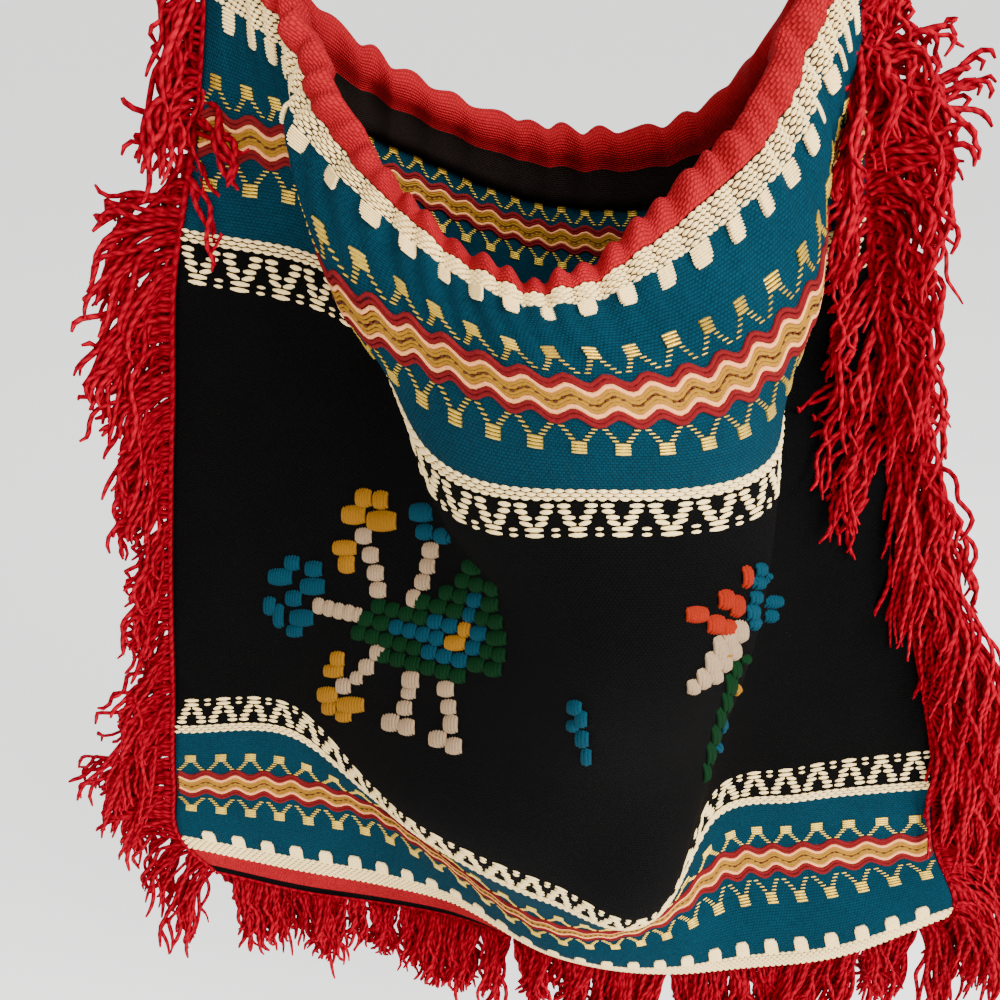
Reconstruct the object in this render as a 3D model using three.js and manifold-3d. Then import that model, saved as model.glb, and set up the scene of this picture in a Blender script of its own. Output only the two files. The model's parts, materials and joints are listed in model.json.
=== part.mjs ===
// A folk shoulder bag of woven wool: two panels with a gathered mouth, turned hems,
// wool fringes along the side and bottom seams, and a plain shoulder strap.
// Millimetres, +Z up, +Y to the back. The origin is where the strap hangs on a hook or shoulder.
import * as THREE from 'three';
import Module from 'manifold-3d';

const wasm = await Module();
wasm.setup();

// Driving sizes
const REPEATS = 28;          // woven repeats of 11 mm from seam to seam
const CLOTH_HEIGHT = 344;    // from the bottom hem to the rim, along the cloth
const WALL = 1.8;            // thickness of the woven wool
const GAP = 0.3;             // clearance between sewn pieces
const STRAP_DROP = 240;      // from the hanging point down to the mouth corners
const HEM_TALL = 8.4;        // red hem roll at the rim
const HEM_CLOSING = 3;       // repeats over which the hems thin towards the seams, where they meet
const SEAM_WALL = 0.1;       // what is left of the facing there
const FACING_WALL = 1.2;
const GATHERS = 14;          // ruffles along each rim
const GATHER_DEPTH = 2.6;
const GATHER_REACH = 46;     // how far the ruffles run down from the rim
const GATHER_FADE = 1.5;     // how fast they flatten on the way down
const GATHER_START = 1.5;    // repeats from a seam to the first full ruffle
const CORD_RADIUS = 1.7;     // heading cord that the fringe hangs on
const CORD_CLEAR = 0.5;      // from the cord to the sewn edges
const CORD_TOP = 316;        // the side cords end here, up the cloth
const CORNER_RISE = 15;      // and start this far above the bottom corners
const CORNER_INSET = 1.5;    // the bottom cord starts this many repeats in from them
const LOCK_ROOT = 11;        // width of a lock of fringe where it is knotted on
const LOCK_WIDTH = 21;       // below its root
const LOCK_TIP = 9;
const LOCK_THICK = 4.6;
const LOCK_ROOT_THICK = 0.5; // share of that thickness at the root
const LOCK_TIP_THICK = 0.6;  // and at the tip
const LOCK_DROOP = 0.5;      // how much of its reach a lock makes before it bends over
const LOCK_START = 0.2;      // how far out of the heading cord's middle it starts
const STRAP_WIDTH = 22;
const STRAP_THICK = 3;

// Mesh steps
const COLUMNS = GATHERS * 3;
const ROWS = [0, 7, 14, 32, 54, 75, 97, 150, 205, 231, 256, 276, 300];
const FACING_ROWS = [312, 324];  // the turned-in facing ends at the lower one
const CORD_SIDES = 6;
const CORD_STEPS = 16;
const LOCK_STEPS = 3;
const STRAP_STEPS = 40;

// Front panel. Each row is a section at a height up the cloth, with a column for each rib.
// Heights z are from the mouth corners, y is negative towards the front.
const RIBS = [0, 4, 7, 9.5, 14, 18.5, 21, 24, 28];
const FRONT_SECTIONS = [
  { name: 'hem', up: 0,
    x: [-122, -87, -56, -31, 10, 53, 80, 114, 153],
    y: [7, 10, 9, 2, -20, -25, -23, -20, -14],
    z: [-334, -349, -354, -352, -344, -352, -353, -351, -338] },
  { name: 'white_low', up: 14,
    x: [-131, -89, -55, -29, 12, 56, 83, 117, 160],
    y: [6, 9, 7, -2, -31, -32, -29, -27, -20],
    z: [-320, -336, -342, -340, -335, -344, -345, -342, -328] },
  { name: 'wave_low', up: 54,
    x: [-131, -87, -55, -32, 9, 49, 73, 104, 152],
    y: [6, 6, 1, -14, -39, -34, -19, -16, -13],
    z: [-286, -289, -295, -300, -310, -312, -304, -302, -299] },
  { name: 'band_low', up: 97,
    x: [-125, -81, -53, -37, 8, 46, 65, 97, 144],
    y: [5, 3, -17, -33, -54, -51, -23, -16, -9],
    z: [-245, -247, -264, -266, -272, -285, -263, -258, -257] },
  { name: 'field_low', up: 150,
    x: [-117, -76, -48, -26, 16, 54, 64, 86, 124],
    y: [4, -4, -21, -40, -65, -55, -33, -15, -7],
    z: [-187, -192, -203, -211, -222, -222, -214, -205, -193] },
  { name: 'field_high', up: 205,
    x: [-107, -66, -36, -16, 19, 58, 66, 74, 107],
    y: [2, -7, -27, -49, -84, -67, -41, -17, -5],
    z: [-128, -135, -147, -157, -168, -167, -157, -147, -132] },
  { name: 'band_high', up: 256,
    x: [-99, -54, -36, -24, 15, 60, 62, 64, 94],
    y: [-2, -11, -27, -58, -84, -61, -33, -7, -5],
    z: [-86, -94, -107, -126, -123, -125, -113, -99, -81] },
  { name: 'wave_high', up: 296,
    x: [-88, -53, -46, -26, 12, 49, 67, 73, 87],
    y: [-2, -13, -48, -67, -90, -73, -49, -20, -5],
    z: [-48, -57, -79, -85, -90, -88, -80, -59, -45] },
  { name: 'white_high', up: 322,
    x: [-82, -58, -55, -32, 3, 41, 60, 72, 82],
    y: [-3, -19, -37, -57, -79, -63, -45, -23, -5],
    z: [-22, -34, -48, -65, -77, -67, -55, -37, -21] },
  { name: 'rim', up: 344,
    x: [-78, -57, -43, -30, 2, 35, 49, 60, 78],
    y: [-3, -20, -41, -51, -70, -52, -41, -23, -4],
    z: [4, -16, -38, -55, -71, -50, -38, -20, 4] },
];

// Back panel, at its three inner ribs. Its outer ribs are the side seams of the front panel.
const BACK_RIBS = [0, 7, 14, 21, 28];
const BACK_SECTIONS = [
  { name: 'hem', up: 0, x: [-57, 10, 79], y: [10, -18, -20], z: [-353, -344, -352] },
  { name: 'band_low', up: 97, x: [-58, 10, 80], y: [24, 18, 12], z: [-252, -256, -258] },
  { name: 'field', up: 190, x: [-54, 8, 72], y: [42, 47, 36], z: [-152, -160, -158] },
  { name: 'wave_high', up: 296, x: [-44, 8, 58], y: [28, 35, 28], z: [-66, -86, -82] },
  { name: 'rim', up: 344, x: [-40, 6, 50], y: [15, 25, 21], z: [-33, -52, -46] },
];
const BACK_HEM_REACH = 110;  // height over which the back leaves the front's hem line

// Fringes. Each row says where along the seam (0 to 1) the locks reach how far out of the seam,
// how far towards the front, and how far they fall.
const LEFT_LOCKS = {
  count: 16,
  rows: [
    { along: 0.00, out: 27, fore: 2, fall: 20 },
    { along: 0.13, out: 27, fore: 3, fall: 16 },
    { along: 0.24, out: 33, fore: 3, fall: 16 },
    { along: 0.36, out: 19, fore: 4, fall: 18 },
    { along: 0.52, out: 17, fore: 4, fall: 18 },
    { along: 0.67, out: 22, fore: 3, fall: 15 },
    { along: 0.83, out: 21, fore: 3, fall: 17 },
    { along: 1.00, out: 20, fore: 2, fall: 22 },
  ],
};
const RIGHT_LOCKS = {
  count: 16,
  rows: [
    { along: 0.00, out: 30, fore: 2, fall: 34 },
    { along: 0.20, out: 36, fore: 4, fall: 40 },
    { along: 0.37, out: 36, fore: 6, fall: 42 },
    { along: 0.57, out: 27, fore: 8, fall: 42 },
    { along: 0.67, out: 32, fore: 6, fall: 32 },
    { along: 0.80, out: 31, fore: 5, fall: 24 },
    { along: 0.90, out: 36, fore: 4, fall: 14 },
    { along: 1.00, out: 26, fore: 2, fall: 12 },
  ],
};
// A few right-hand locks fall forward over the panel instead, from the roots of others
const INNER_LOCKS = { first: 9, count: 3, out: -15, fore: 19, fall: 34 };
const BOTTOM_LOCKS = {
  count: 18,
  rows: [
    { along: 0.00, out: 20, fore: 2, fall: 8 },
    { along: 0.15, out: 17, fore: 4, fall: 8 },
    { along: 0.45, out: 19, fore: 7, fall: 9 },
    { along: 0.60, out: 18, fore: 9, fall: 9 },
    { along: 0.80, out: 22, fore: 7, fall: 10 },
    { along: 1.00, out: 28, fore: 4, fall: 14 },
  ],
};
// Uneven spacing of the ruffles, as waves along the rim
const GATHER_WOBBLE = [
  { depth: 0.7, pitch: 1.3, shift: 0 },
  { depth: 0.4, pitch: 0.61, shift: 1 },
];

// Section of the hem roll: places up the roll, as shares of its height, and out of the cloth.
// A place with a swell goes in and out with the gathers.
const ROLL_OUTSIDE = [
  { share: 0, out: 2.4, swell: 0 },
  { share: 0.45, out: 3.6, swell: 0.3 },
  { share: 0.88, out: 3.0, swell: 0.3 },
  { share: 1.14, out: 0.9, swell: 0 },
];
const ROLL_INSIDE = [
  { share: 0.9, out: 1.0, swell: 0.3 },
  { share: 0.4, out: 1.6, swell: 0.3 },
];

const LOCK_VARIATION = { share: 0.16, pitch: 2.4, shift: 0.8 };  // how locks differ in length
const LOCK_SPREAD = 5;       // neighbouring locks lean this far to the front and to the back

// Strap route on the left half, from its sewn end up to the hanging point
const STRAP_ROUTE = [
  { x: -83.35, z: -9 },
  { x: -81.85, z: 4 },
  { x: -77, z: 28 },
  { x: -58, z: 96 },
  { x: -34, z: 172 },
  { x: -19, z: 218 },
  { x: -10, z: 236 },
];

const CLOTH = { red: 0xc8201f, black: 0x161515, fringe: 0xb50d1d };

function material(color) {
  return new THREE.MeshStandardMaterial({ color, roughness: 0.92, metalness: 0 });
}

// Smooth curve through values at knots
function curveAt(knots, values, at) {
  const last = knots.length - 1;
  const slope = (i) => {
    if (i === 0) return (values[1] - values[0]) / (knots[1] - knots[0]);
    if (i === last) return (values[last] - values[last - 1]) / (knots[last] - knots[last - 1]);
    const before = knots[i] - knots[i - 1];
    const after = knots[i + 1] - knots[i];
    const rise = (values[i] - values[i - 1]) / before;
    const next = (values[i + 1] - values[i]) / after;
    return (rise * after + next * before) / (before + after);
  };
  let i = 0;
  while (i < last - 1 && at >= knots[i + 1]) i += 1;
  const span = knots[i + 1] - knots[i];
  const w = (at - knots[i]) / span;
  const w2 = w * w;
  const w3 = w2 * w;
  return (2 * w3 - 3 * w2 + 1) * values[i] + (w3 - 2 * w2 + w) * span * slope(i)
    + (3 * w2 - 2 * w3) * values[i + 1] + (w3 - w2) * span * slope(i + 1);
}

function sectionPoint(sections, rib, up) {
  const knots = sections.map((row) => row.up);
  const read = (axis) => curveAt(knots, sections.map((row) => row[axis][rib]), up);
  return new THREE.Vector3(read('x'), read('y'), read('z'));
}

function acrossRibs(ribs, points, across) {
  const read = (axis) => curveAt(ribs, points.map((point) => point[axis]), across);
  return new THREE.Vector3(read('x'), read('y'), read('z'));
}

// Smooth cloth before its ruffles: across in repeats from the left seam, up in millimetres
function frontCloth(across, up) {
  const points = RIBS.map((_, rib) => sectionPoint(FRONT_SECTIONS, rib, up));
  return acrossRibs(RIBS, points, across);
}

function backRibs(across, up) {
  const inner = [0, 1, 2].map((rib) => sectionPoint(BACK_SECTIONS, rib, up));
  return acrossRibs(BACK_RIBS, [frontCloth(0, up), ...inner, frontCloth(REPEATS, up)], across);
}

function backCloth(across, up) {
  const point = backRibs(across, up);
  const fade = Math.max(0, 1 - up / BACK_HEM_REACH) ** 2;
  if (fade === 0) return point;
  const hemShift = frontCloth(across, 0).sub(backRibs(across, 0));
  return point.addScaledVector(hemShift, fade);
}

// Steps that measure a direction: on the cloth, along a seam and along a lock
const PROBE = { across: 0.05, up: 0.5, seam: 0.02, lock: 0.05 };

// Directions on the cloth: across, up and out of the bag
function clothFrame(cloth, side, across, up) {
  const left = Math.max(0, across - PROBE.across);
  const right = Math.min(REPEATS, across + PROBE.across);
  const low = Math.max(0, up - PROBE.up);
  const high = Math.min(CLOTH_HEIGHT, up + PROBE.up);
  const acrossDir = cloth(right, up).sub(cloth(left, up)).normalize();
  const upDir = cloth(across, high).sub(cloth(across, low)).normalize();
  const outDir = new THREE.Vector3().crossVectors(acrossDir, upDir).multiplyScalar(side).normalize();
  return { acrossDir, upDir, outDir };
}

// Rises from 0 at both seams to 1, a number of repeats in
function fromSeams(across, reach) {
  return Math.min(1, across / reach, (REPEATS - across) / reach);
}

function gatherWave(across) {
  const wobble = GATHER_WOBBLE.reduce((sum, { depth, pitch, shift }) => (
    sum + depth * Math.sin(pitch * across + shift)), 0);
  return Math.sin((2 * Math.PI * GATHERS * across) / REPEATS + wobble);
}

function ruffle(across, up) {
  const fade = Math.max(0, 1 - (CLOTH_HEIGHT - up) / GATHER_REACH) ** GATHER_FADE;
  return GATHER_DEPTH * gatherWave(across) * fade * fromSeams(across, GATHER_START);
}

// Point at a distance out of the cloth, ruffles included. Above the rim it goes on straight.
function clothPoint(panel, across, up, out) {
  const held = Math.min(up, CLOTH_HEIGHT);
  const frame = clothFrame(panel.cloth, panel.side, across, held);
  return panel.cloth(across, held)
    .addScaledVector(frame.upDir, up - held)
    .addScaledVector(frame.outDir, out + ruffle(across, held));
}

const FRONT = { cloth: frontCloth, side: 1 };
const BACK = { cloth: backCloth, side: -1 };

// Closed body from rings of points, capped at both ends, with its faces turned out
function ringBody(rings, cap = ringCap(rings[0])) {
  const sides = rings[0].length;
  const lastStart = (rings.length - 1) * sides;
  const faces = [];
  for (let start = 0; start < lastStart; start += sides) {
    for (let j = 0; j < sides; j += 1) {
      const a = start + j;
      const b = start + ((j + 1) % sides);
      faces.push([a, b, b + sides], [a, b + sides, a + sides]);
    }
  }
  for (const [a, b, c] of cap) {
    faces.push([a, c, b], [lastStart + a, lastStart + b, lastStart + c]);
  }
  const points = rings.flat();
  const volume = faces.reduce((sum, [a, b, c]) => (
    sum + points[a].dot(new THREE.Vector3().crossVectors(points[b], points[c]))), 0);
  const turned = volume > 0 ? faces : faces.map(([a, b, c]) => [a, c, b]);
  const geometry = new THREE.BufferGeometry().setFromPoints(points);
  geometry.setIndex(turned.flat());
  geometry.computeVertexNormals();
  return geometry;
}

// Triangles that fill a ring, drawn flat in its own plane
function ringCap(ring) {
  const centre = ring.reduce((sum, point) => sum.add(point), new THREE.Vector3());
  centre.divideScalar(ring.length);
  const normal = new THREE.Vector3();
  ring.forEach((point, i) => {
    const next = ring[(i + 1) % ring.length];
    normal.add(new THREE.Vector3().crossVectors(
      point.clone().sub(centre), next.clone().sub(centre)));
  });
  const turn = new THREE.Quaternion().setFromUnitVectors(
    normal.normalize(), new THREE.Vector3(0, 0, 1));
  const contour = ring.map((point) => {
    const flat = point.clone().sub(centre).applyQuaternion(turn);
    return new THREE.Vector2(flat.x, flat.y);
  });
  return THREE.ShapeUtils.triangulateShape(contour, []);
}

// Triangles that fill a wall's ring, pairing each inner point with the outer one at its height
function wallCap(tall) {
  const cap = [];
  for (let k = 0; k + 1 < tall; k += 1) {
    const far = 2 * tall - 1 - k;
    cap.push([k, k + 1, far], [k + 1, far - 1, far]);
  }
  return cap;
}

const columnPlaces = Array.from({ length: COLUMNS + 1 }, (_, i) => (REPEATS * i) / COLUMNS);

// Panel wall: one ring for each column, up the inner face and down the outer face
function panelGeometry(panel) {
  const ups = [...ROWS, ...FACING_ROWS, CLOTH_HEIGHT - HEM_TALL - GAP];
  const inner = GAP / 2;
  const outer = inner + WALL;
  const rings = columnPlaces.map((across) => [
    ...ups.map((up) => clothPoint(panel, across, up, inner)),
    ...ups.toReversed().map((up) => clothPoint(panel, across, up, outer)),
  ]);
  return ringBody(rings, wallCap(ups.length));
}

// Hem section around the rim, as places up the cloth and out of it: the turned-in facing,
// then the roll. The inner side closes up towards the seams.
function hemSection(across) {
  const open = fromSeams(across, HEM_CLOSING);
  const wave = gatherWave(across);
  const front = -GAP / 2;
  const back = front - SEAM_WALL - FACING_WALL * open;
  const rollFoot = CLOTH_HEIGHT - HEM_TALL;
  const rollPlaces = (rows, base, way) => rows.map(({ share, out, swell }) => (
    { out: base + way * out * (1 + swell * wave), up: rollFoot + share * HEM_TALL }));
  return [
    ...FACING_ROWS.map((up) => ({ out: front, up })),
    { out: front, up: rollFoot },
    ...rollPlaces(ROLL_OUTSIDE, 0, 1),
    ...rollPlaces(ROLL_INSIDE, back, -open),
    { out: back, up: rollFoot - GAP },
    ...FACING_ROWS.toReversed().map((up) => ({ out: back, up })),
  ];
}

function hemGeometry(panel) {
  const places = columnPlaces.slice(1, -1);
  const rings = places.map((across) => hemSection(across)
    .map(({ out, up }) => clothPoint(panel, across, up, out)));
  return ringBody(rings);
}

// Seam lines that the fringes hang on, with the way out of the cloth at each place
function seamPlace(across, up, runs, leaves) {
  const front = clothFrame(frontCloth, FRONT.side, across, up);
  const back = clothFrame(backCloth, BACK.side, across, up);
  const outDir = leaves(front).add(leaves(back));
  const seamDir = runs(front);
  outDir.addScaledVector(seamDir, -outDir.dot(seamDir)).normalize();
  const wallReach = Math.max(0, front.outDir.dot(outDir), back.outDir.dot(outDir)) * (WALL + GAP);
  const point = frontCloth(across, up).addScaledVector(outDir, wallReach + CORD_CLEAR + CORD_RADIUS);
  return { point, outDir };
}

function sideSeam(across) {
  const sign = across === 0 ? -1 : 1;
  const runs = (frame) => frame.upDir;
  const leaves = (frame) => frame.acrossDir.clone().multiplyScalar(sign);
  const tall = CORD_TOP - CORNER_RISE;
  return (along) => seamPlace(across, CORNER_RISE + along * tall, runs, leaves);
}

function bottomSeam(along) {
  const runs = (frame) => frame.acrossDir;
  const leaves = (frame) => frame.upDir.clone().negate();
  const wide = REPEATS - 2 * CORNER_INSET;
  return seamPlace(CORNER_INSET + along * wide, 0, runs, leaves);
}

function seamAhead(seam, along) {
  const behind = seam(Math.max(0, along - PROBE.seam)).point;
  return seam(Math.min(1, along + PROBE.seam)).point.sub(behind).normalize();
}

function cordRings(seam) {
  return Array.from({ length: CORD_STEPS + 1 }, (_, i) => {
    const { point } = seam(i / CORD_STEPS);
    const ahead = seamAhead(seam, i / CORD_STEPS);
    const flat = new THREE.Vector3(0, -1, 0).addScaledVector(ahead, ahead.y).normalize();
    const cross = new THREE.Vector3().crossVectors(ahead, flat);
    return Array.from({ length: CORD_SIDES }, (_, k) => {
      const angle = (2 * Math.PI * k) / CORD_SIDES;
      return point.clone()
        .addScaledVector(flat, CORD_RADIUS * Math.cos(angle))
        .addScaledVector(cross, CORD_RADIUS * Math.sin(angle));
    });
  });
}

// One lock of fringe: it leaves the seam, bends over and tapers to its tip
function lockRings(seam, along, { out, fore, fall }) {
  const { point, outDir } = seam(along);
  const ahead = seamAhead(seam, along);
  const front = new THREE.Vector3(0, -1, 0);
  const down = new THREE.Vector3(0, 0, -1);
  const place = (w) => point.clone()
    .addScaledVector(outDir, LOCK_START + out * w * (1 + LOCK_DROOP * (1 - w)))
    .addScaledVector(front, fore * w * (2 - w))
    .addScaledVector(down, fall * w * w);
  return Array.from({ length: LOCK_STEPS + 1 }, (_, i) => {
    const w = i / LOCK_STEPS;
    const behind = place(Math.max(0, w - PROBE.lock));
    const run = place(Math.min(1, w + PROBE.lock)).sub(behind).normalize();
    const wide = ahead.clone().addScaledVector(run, -ahead.dot(run)).normalize();
    const thick = new THREE.Vector3().crossVectors(run, wide);
    const halfWide = (i === 0 ? LOCK_ROOT : LOCK_WIDTH + (LOCK_TIP - LOCK_WIDTH) * w) / 2;
    const thickness = i === 0 ? LOCK_ROOT_THICK : 1 + (LOCK_TIP_THICK - 1) * w;
    const halfThick = (LOCK_THICK * thickness) / 2;
    return [[1, 1], [-1, 1], [-1, -1], [1, -1]].map(([a, b]) => place(w)
      .addScaledVector(wide, a * halfWide)
      .addScaledVector(thick, b * halfThick));
  });
}

function readRow(rows, along) {
  const knots = rows.map((row) => row.along);
  const read = (column) => curveAt(knots, rows.map((row) => row[column]), along);
  return { out: read('out'), fore: read('fore'), fall: read('fall') };
}

function locksOf({ count, rows }) {
  return Array.from({ length: count }, (_, i) => {
    const along = (i + 0.5) / count;
    const wave = Math.sin(LOCK_VARIATION.pitch * i + LOCK_VARIATION.shift);
    const longer = 1 + LOCK_VARIATION.share * wave;
    const row = readRow(rows, along);
    const fore = row.fore + (i % 2 ? -LOCK_SPREAD : LOCK_SPREAD);
    return { along, out: row.out * longer, fore, fall: row.fall * longer };
  });
}

function innerLocks({ first, count, out, fore, fall }) {
  return Array.from({ length: count }, (_, i) => (
    { along: (first + i + 0.5) / RIGHT_LOCKS.count, out, fore, fall }));
}

function solidOf(geometry) {
  return new wasm.Manifold(new wasm.Mesh({
    numProp: 3,
    vertProperties: new Float32Array(geometry.getAttribute('position').array),
    triVerts: new Uint32Array(geometry.index.array),
  }));
}

function geometryOf(solid) {
  const mesh = solid.getMesh();
  const geometry = new THREE.BufferGeometry();
  geometry.setAttribute('position', new THREE.BufferAttribute(mesh.vertProperties, 3));
  geometry.setIndex(new THREE.BufferAttribute(mesh.triVerts, 1));
  geometry.computeVertexNormals();
  return geometry;
}

function fringeGeometry(seam, locks) {
  const cord = solidOf(ringBody(cordRings(seam)));
  const fused = locks.reduce(
    (solid, lock) => solid.add(solidOf(ringBody(lockRings(seam, lock.along, lock)))), cord);
  return geometryOf(fused);
}

// Strap: a flat band whose width runs front to back
function strapGeometry() {
  const half = STRAP_ROUTE.map(({ x, z }) => new THREE.Vector3(x, 0, z));
  const top = new THREE.Vector3(0, 0, STRAP_DROP + STRAP_THICK / 2);
  const other = half.toReversed().map((point) => new THREE.Vector3(-point.x, 0, point.z));
  const route = new THREE.CatmullRomCurve3([...half, top, ...other]);
  const rings = Array.from({ length: STRAP_STEPS + 1 }, (_, i) => {
    const centre = route.getPointAt(i / STRAP_STEPS);
    const run = route.getTangentAt(i / STRAP_STEPS);
    const thick = new THREE.Vector3(run.z, 0, -run.x).multiplyScalar(STRAP_THICK / 2);
    const wide = new THREE.Vector3(0, STRAP_WIDTH / 2, 0);
    return [[1, 1], [-1, 1], [-1, -1], [1, -1]].map(([a, b]) => centre.clone()
      .addScaledVector(thick, a)
      .addScaledVector(wide, b));
  });
  return ringBody(rings);
}

const bag = new THREE.Group();
bag.name = 'embroidered_bag';
bag.position.z = -STRAP_DROP;

function addPiece(name, geometry, color) {
  const mesh = new THREE.Mesh(geometry, material(color));
  mesh.name = name;
  bag.add(mesh);
}

addPiece('front_panel', panelGeometry(FRONT), CLOTH.black);
addPiece('back_panel', panelGeometry(BACK), CLOTH.black);
addPiece('front_hem', hemGeometry(FRONT), CLOTH.red);
addPiece('back_hem', hemGeometry(BACK), CLOTH.red);
addPiece('fringe_left', fringeGeometry(sideSeam(0), locksOf(LEFT_LOCKS)), CLOTH.fringe);
addPiece('fringe_right', fringeGeometry(
  sideSeam(REPEATS), [...locksOf(RIGHT_LOCKS), ...innerLocks(INNER_LOCKS)]), CLOTH.fringe);
addPiece('fringe_bottom', fringeGeometry(bottomSeam, locksOf(BOTTOM_LOCKS)), CLOTH.fringe);
addPiece('shoulder_strap', strapGeometry(), CLOTH.red);

const part = new THREE.Group();
part.add(bag);

export default part;
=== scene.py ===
"""A folk shoulder bag of woven wool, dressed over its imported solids.

The cloth is worked out as two nets of points from the same section tables as the solids. Woven
bands, embroidery and fringes are then placed on those nets in cloth coordinates, in millimetres:
across from the left seam, up from the bottom hem, out of the bag.
"""

import json
import math

import bpy
import numpy as np
from bpy.props import FloatProperty, FloatVectorProperty, IntProperty, PointerProperty
from bpy.types import Operator, Panel, PropertyGroup
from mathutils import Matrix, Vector

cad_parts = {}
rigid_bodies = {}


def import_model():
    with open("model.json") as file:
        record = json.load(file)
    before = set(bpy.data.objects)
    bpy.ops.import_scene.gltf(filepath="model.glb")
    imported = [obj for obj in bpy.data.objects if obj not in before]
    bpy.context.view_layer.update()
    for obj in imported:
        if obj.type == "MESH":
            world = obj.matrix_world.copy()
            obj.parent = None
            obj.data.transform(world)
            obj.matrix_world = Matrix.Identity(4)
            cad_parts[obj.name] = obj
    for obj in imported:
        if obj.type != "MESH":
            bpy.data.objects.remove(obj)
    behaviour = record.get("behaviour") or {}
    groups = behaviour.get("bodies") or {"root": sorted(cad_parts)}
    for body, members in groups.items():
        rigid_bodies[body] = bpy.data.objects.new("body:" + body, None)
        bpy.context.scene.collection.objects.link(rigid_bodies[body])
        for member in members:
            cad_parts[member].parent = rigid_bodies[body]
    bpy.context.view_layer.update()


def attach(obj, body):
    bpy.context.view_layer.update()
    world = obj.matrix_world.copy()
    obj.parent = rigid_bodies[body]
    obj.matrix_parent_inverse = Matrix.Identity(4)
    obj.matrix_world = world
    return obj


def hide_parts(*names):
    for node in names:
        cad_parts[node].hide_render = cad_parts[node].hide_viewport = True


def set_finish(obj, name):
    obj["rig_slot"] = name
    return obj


bl_info = {
    "name": "Embroidered shoulder bag",
    "version": (1, 0, 0),
    "blender": (4, 5, 0),
    "location": "View3D > Sidebar > Bag",
    "description": "Makes a folk shoulder bag with woven borders, embroidery and yarn fringes",
    "category": "Add Mesh",
}

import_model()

# Sizes of the cloth in millimetres
MM = 0.001
REPEAT = 11.0
REPEATS = 28
CLOTH_WIDTH = REPEAT * REPEATS
CLOTH_HEIGHT = 344.0
STRAP_DROP = 240.0
SEAM_GAP = 0.15
CLOTH_WALL = 1.8
CLOTH_OUT = SEAM_GAP + CLOTH_WALL
HEM_TALL = 8.4

# How far a millimetre of the cloth may shrink where it is gathered, or grow where it is drawn
STRETCH_RANGE = (0.55, 1.25)

# Ruffles of the rim: their number, their depth, how far they reach down the cloth and how they fade,
# how many repeats from the seams they are whole, and the sine waves that make them uneven
GATHERS = 14
GATHER = {"depth": 1.2, "reach": 46.0, "fade": 1.5, "whole": 1.5}
GATHER_WOBBLE = [{"by": 0.4, "pace": 1.3, "phase": 0}, {"by": 0.4, "pace": 0.61, "phase": 1}]
FRONT_PLEATS = 37
BACK_PLEATS = 17
PLEAT = {"depth": 1.15, "reach": 52.0, "fade": 1.2, "whole": 3}
PLEAT_WOBBLE = [{"by": 0.4, "pace": 0.83, "phase": 0.4}, {"by": 0.12, "pace": 1.9, "phase": 0}]
PLEAT_SHAPE = {"gain": 2.2, "floor": 0.05, "power": 0.6, "off": 1.2}

# Front panel: a section for each height up the cloth, with a column for each rib
RIBS = [0, 4, 7, 9.5, 14, 18.5, 21, 24, 28]
FRONT_SECTIONS = [
    {"up": 0,
     "x": [-122, -87, -56, -31, 10, 53, 80, 114, 153],
     "y": [7, 10, 9, 2, -20, -25, -23, -20, -14],
     "z": [-334, -349, -354, -352, -344, -352, -353, -351, -338]},
    {"up": 14,
     "x": [-131, -89, -55, -29, 12, 56, 83, 117, 160],
     "y": [6, 9, 7, -2, -31, -32, -29, -27, -20],
     "z": [-320, -336, -342, -340, -335, -344, -345, -342, -328]},
    {"up": 54,
     "x": [-131, -87, -55, -32, 9, 49, 73, 104, 152],
     "y": [6, 6, 1, -14, -39, -34, -19, -16, -13],
     "z": [-286, -289, -295, -300, -310, -312, -304, -302, -299]},
    {"up": 97,
     "x": [-125, -81, -53, -37, 8, 46, 65, 97, 144],
     "y": [5, 3, -17, -33, -54, -51, -23, -16, -9],
     "z": [-245, -247, -264, -266, -272, -285, -263, -258, -257]},
    {"up": 150,
     "x": [-117, -76, -48, -26, 16, 54, 64, 86, 124],
     "y": [4, -4, -21, -40, -65, -55, -33, -15, -7],
     "z": [-187, -192, -203, -211, -222, -222, -214, -205, -193]},
    {"up": 205,
     "x": [-107, -66, -36, -16, 19, 58, 66, 74, 107],
     "y": [2, -7, -27, -49, -84, -67, -41, -17, -5],
     "z": [-128, -135, -147, -157, -168, -167, -157, -147, -132]},
    {"up": 256,
     "x": [-99, -54, -36, -24, 15, 60, 62, 64, 94],
     "y": [-2, -11, -27, -58, -84, -61, -33, -7, -5],
     "z": [-86, -94, -107, -126, -123, -125, -113, -99, -81]},
    {"up": 296,
     "x": [-88, -53, -46, -26, 12, 49, 67, 73, 87],
     "y": [-2, -13, -48, -67, -90, -73, -49, -20, -5],
     "z": [-48, -57, -79, -85, -90, -88, -80, -59, -45]},
    {"up": 322,
     "x": [-82, -58, -55, -32, 3, 41, 60, 72, 82],
     "y": [-3, -19, -37, -57, -79, -63, -45, -23, -5],
     "z": [-22, -34, -48, -65, -77, -67, -55, -37, -21]},
    {"up": 344,
     "x": [-78, -57, -43, -30, 2, 35, 49, 60, 78],
     "y": [-3, -20, -41, -51, -70, -52, -41, -23, -4],
     "z": [4, -16, -38, -55, -71, -50, -38, -20, 4]},
]

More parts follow.
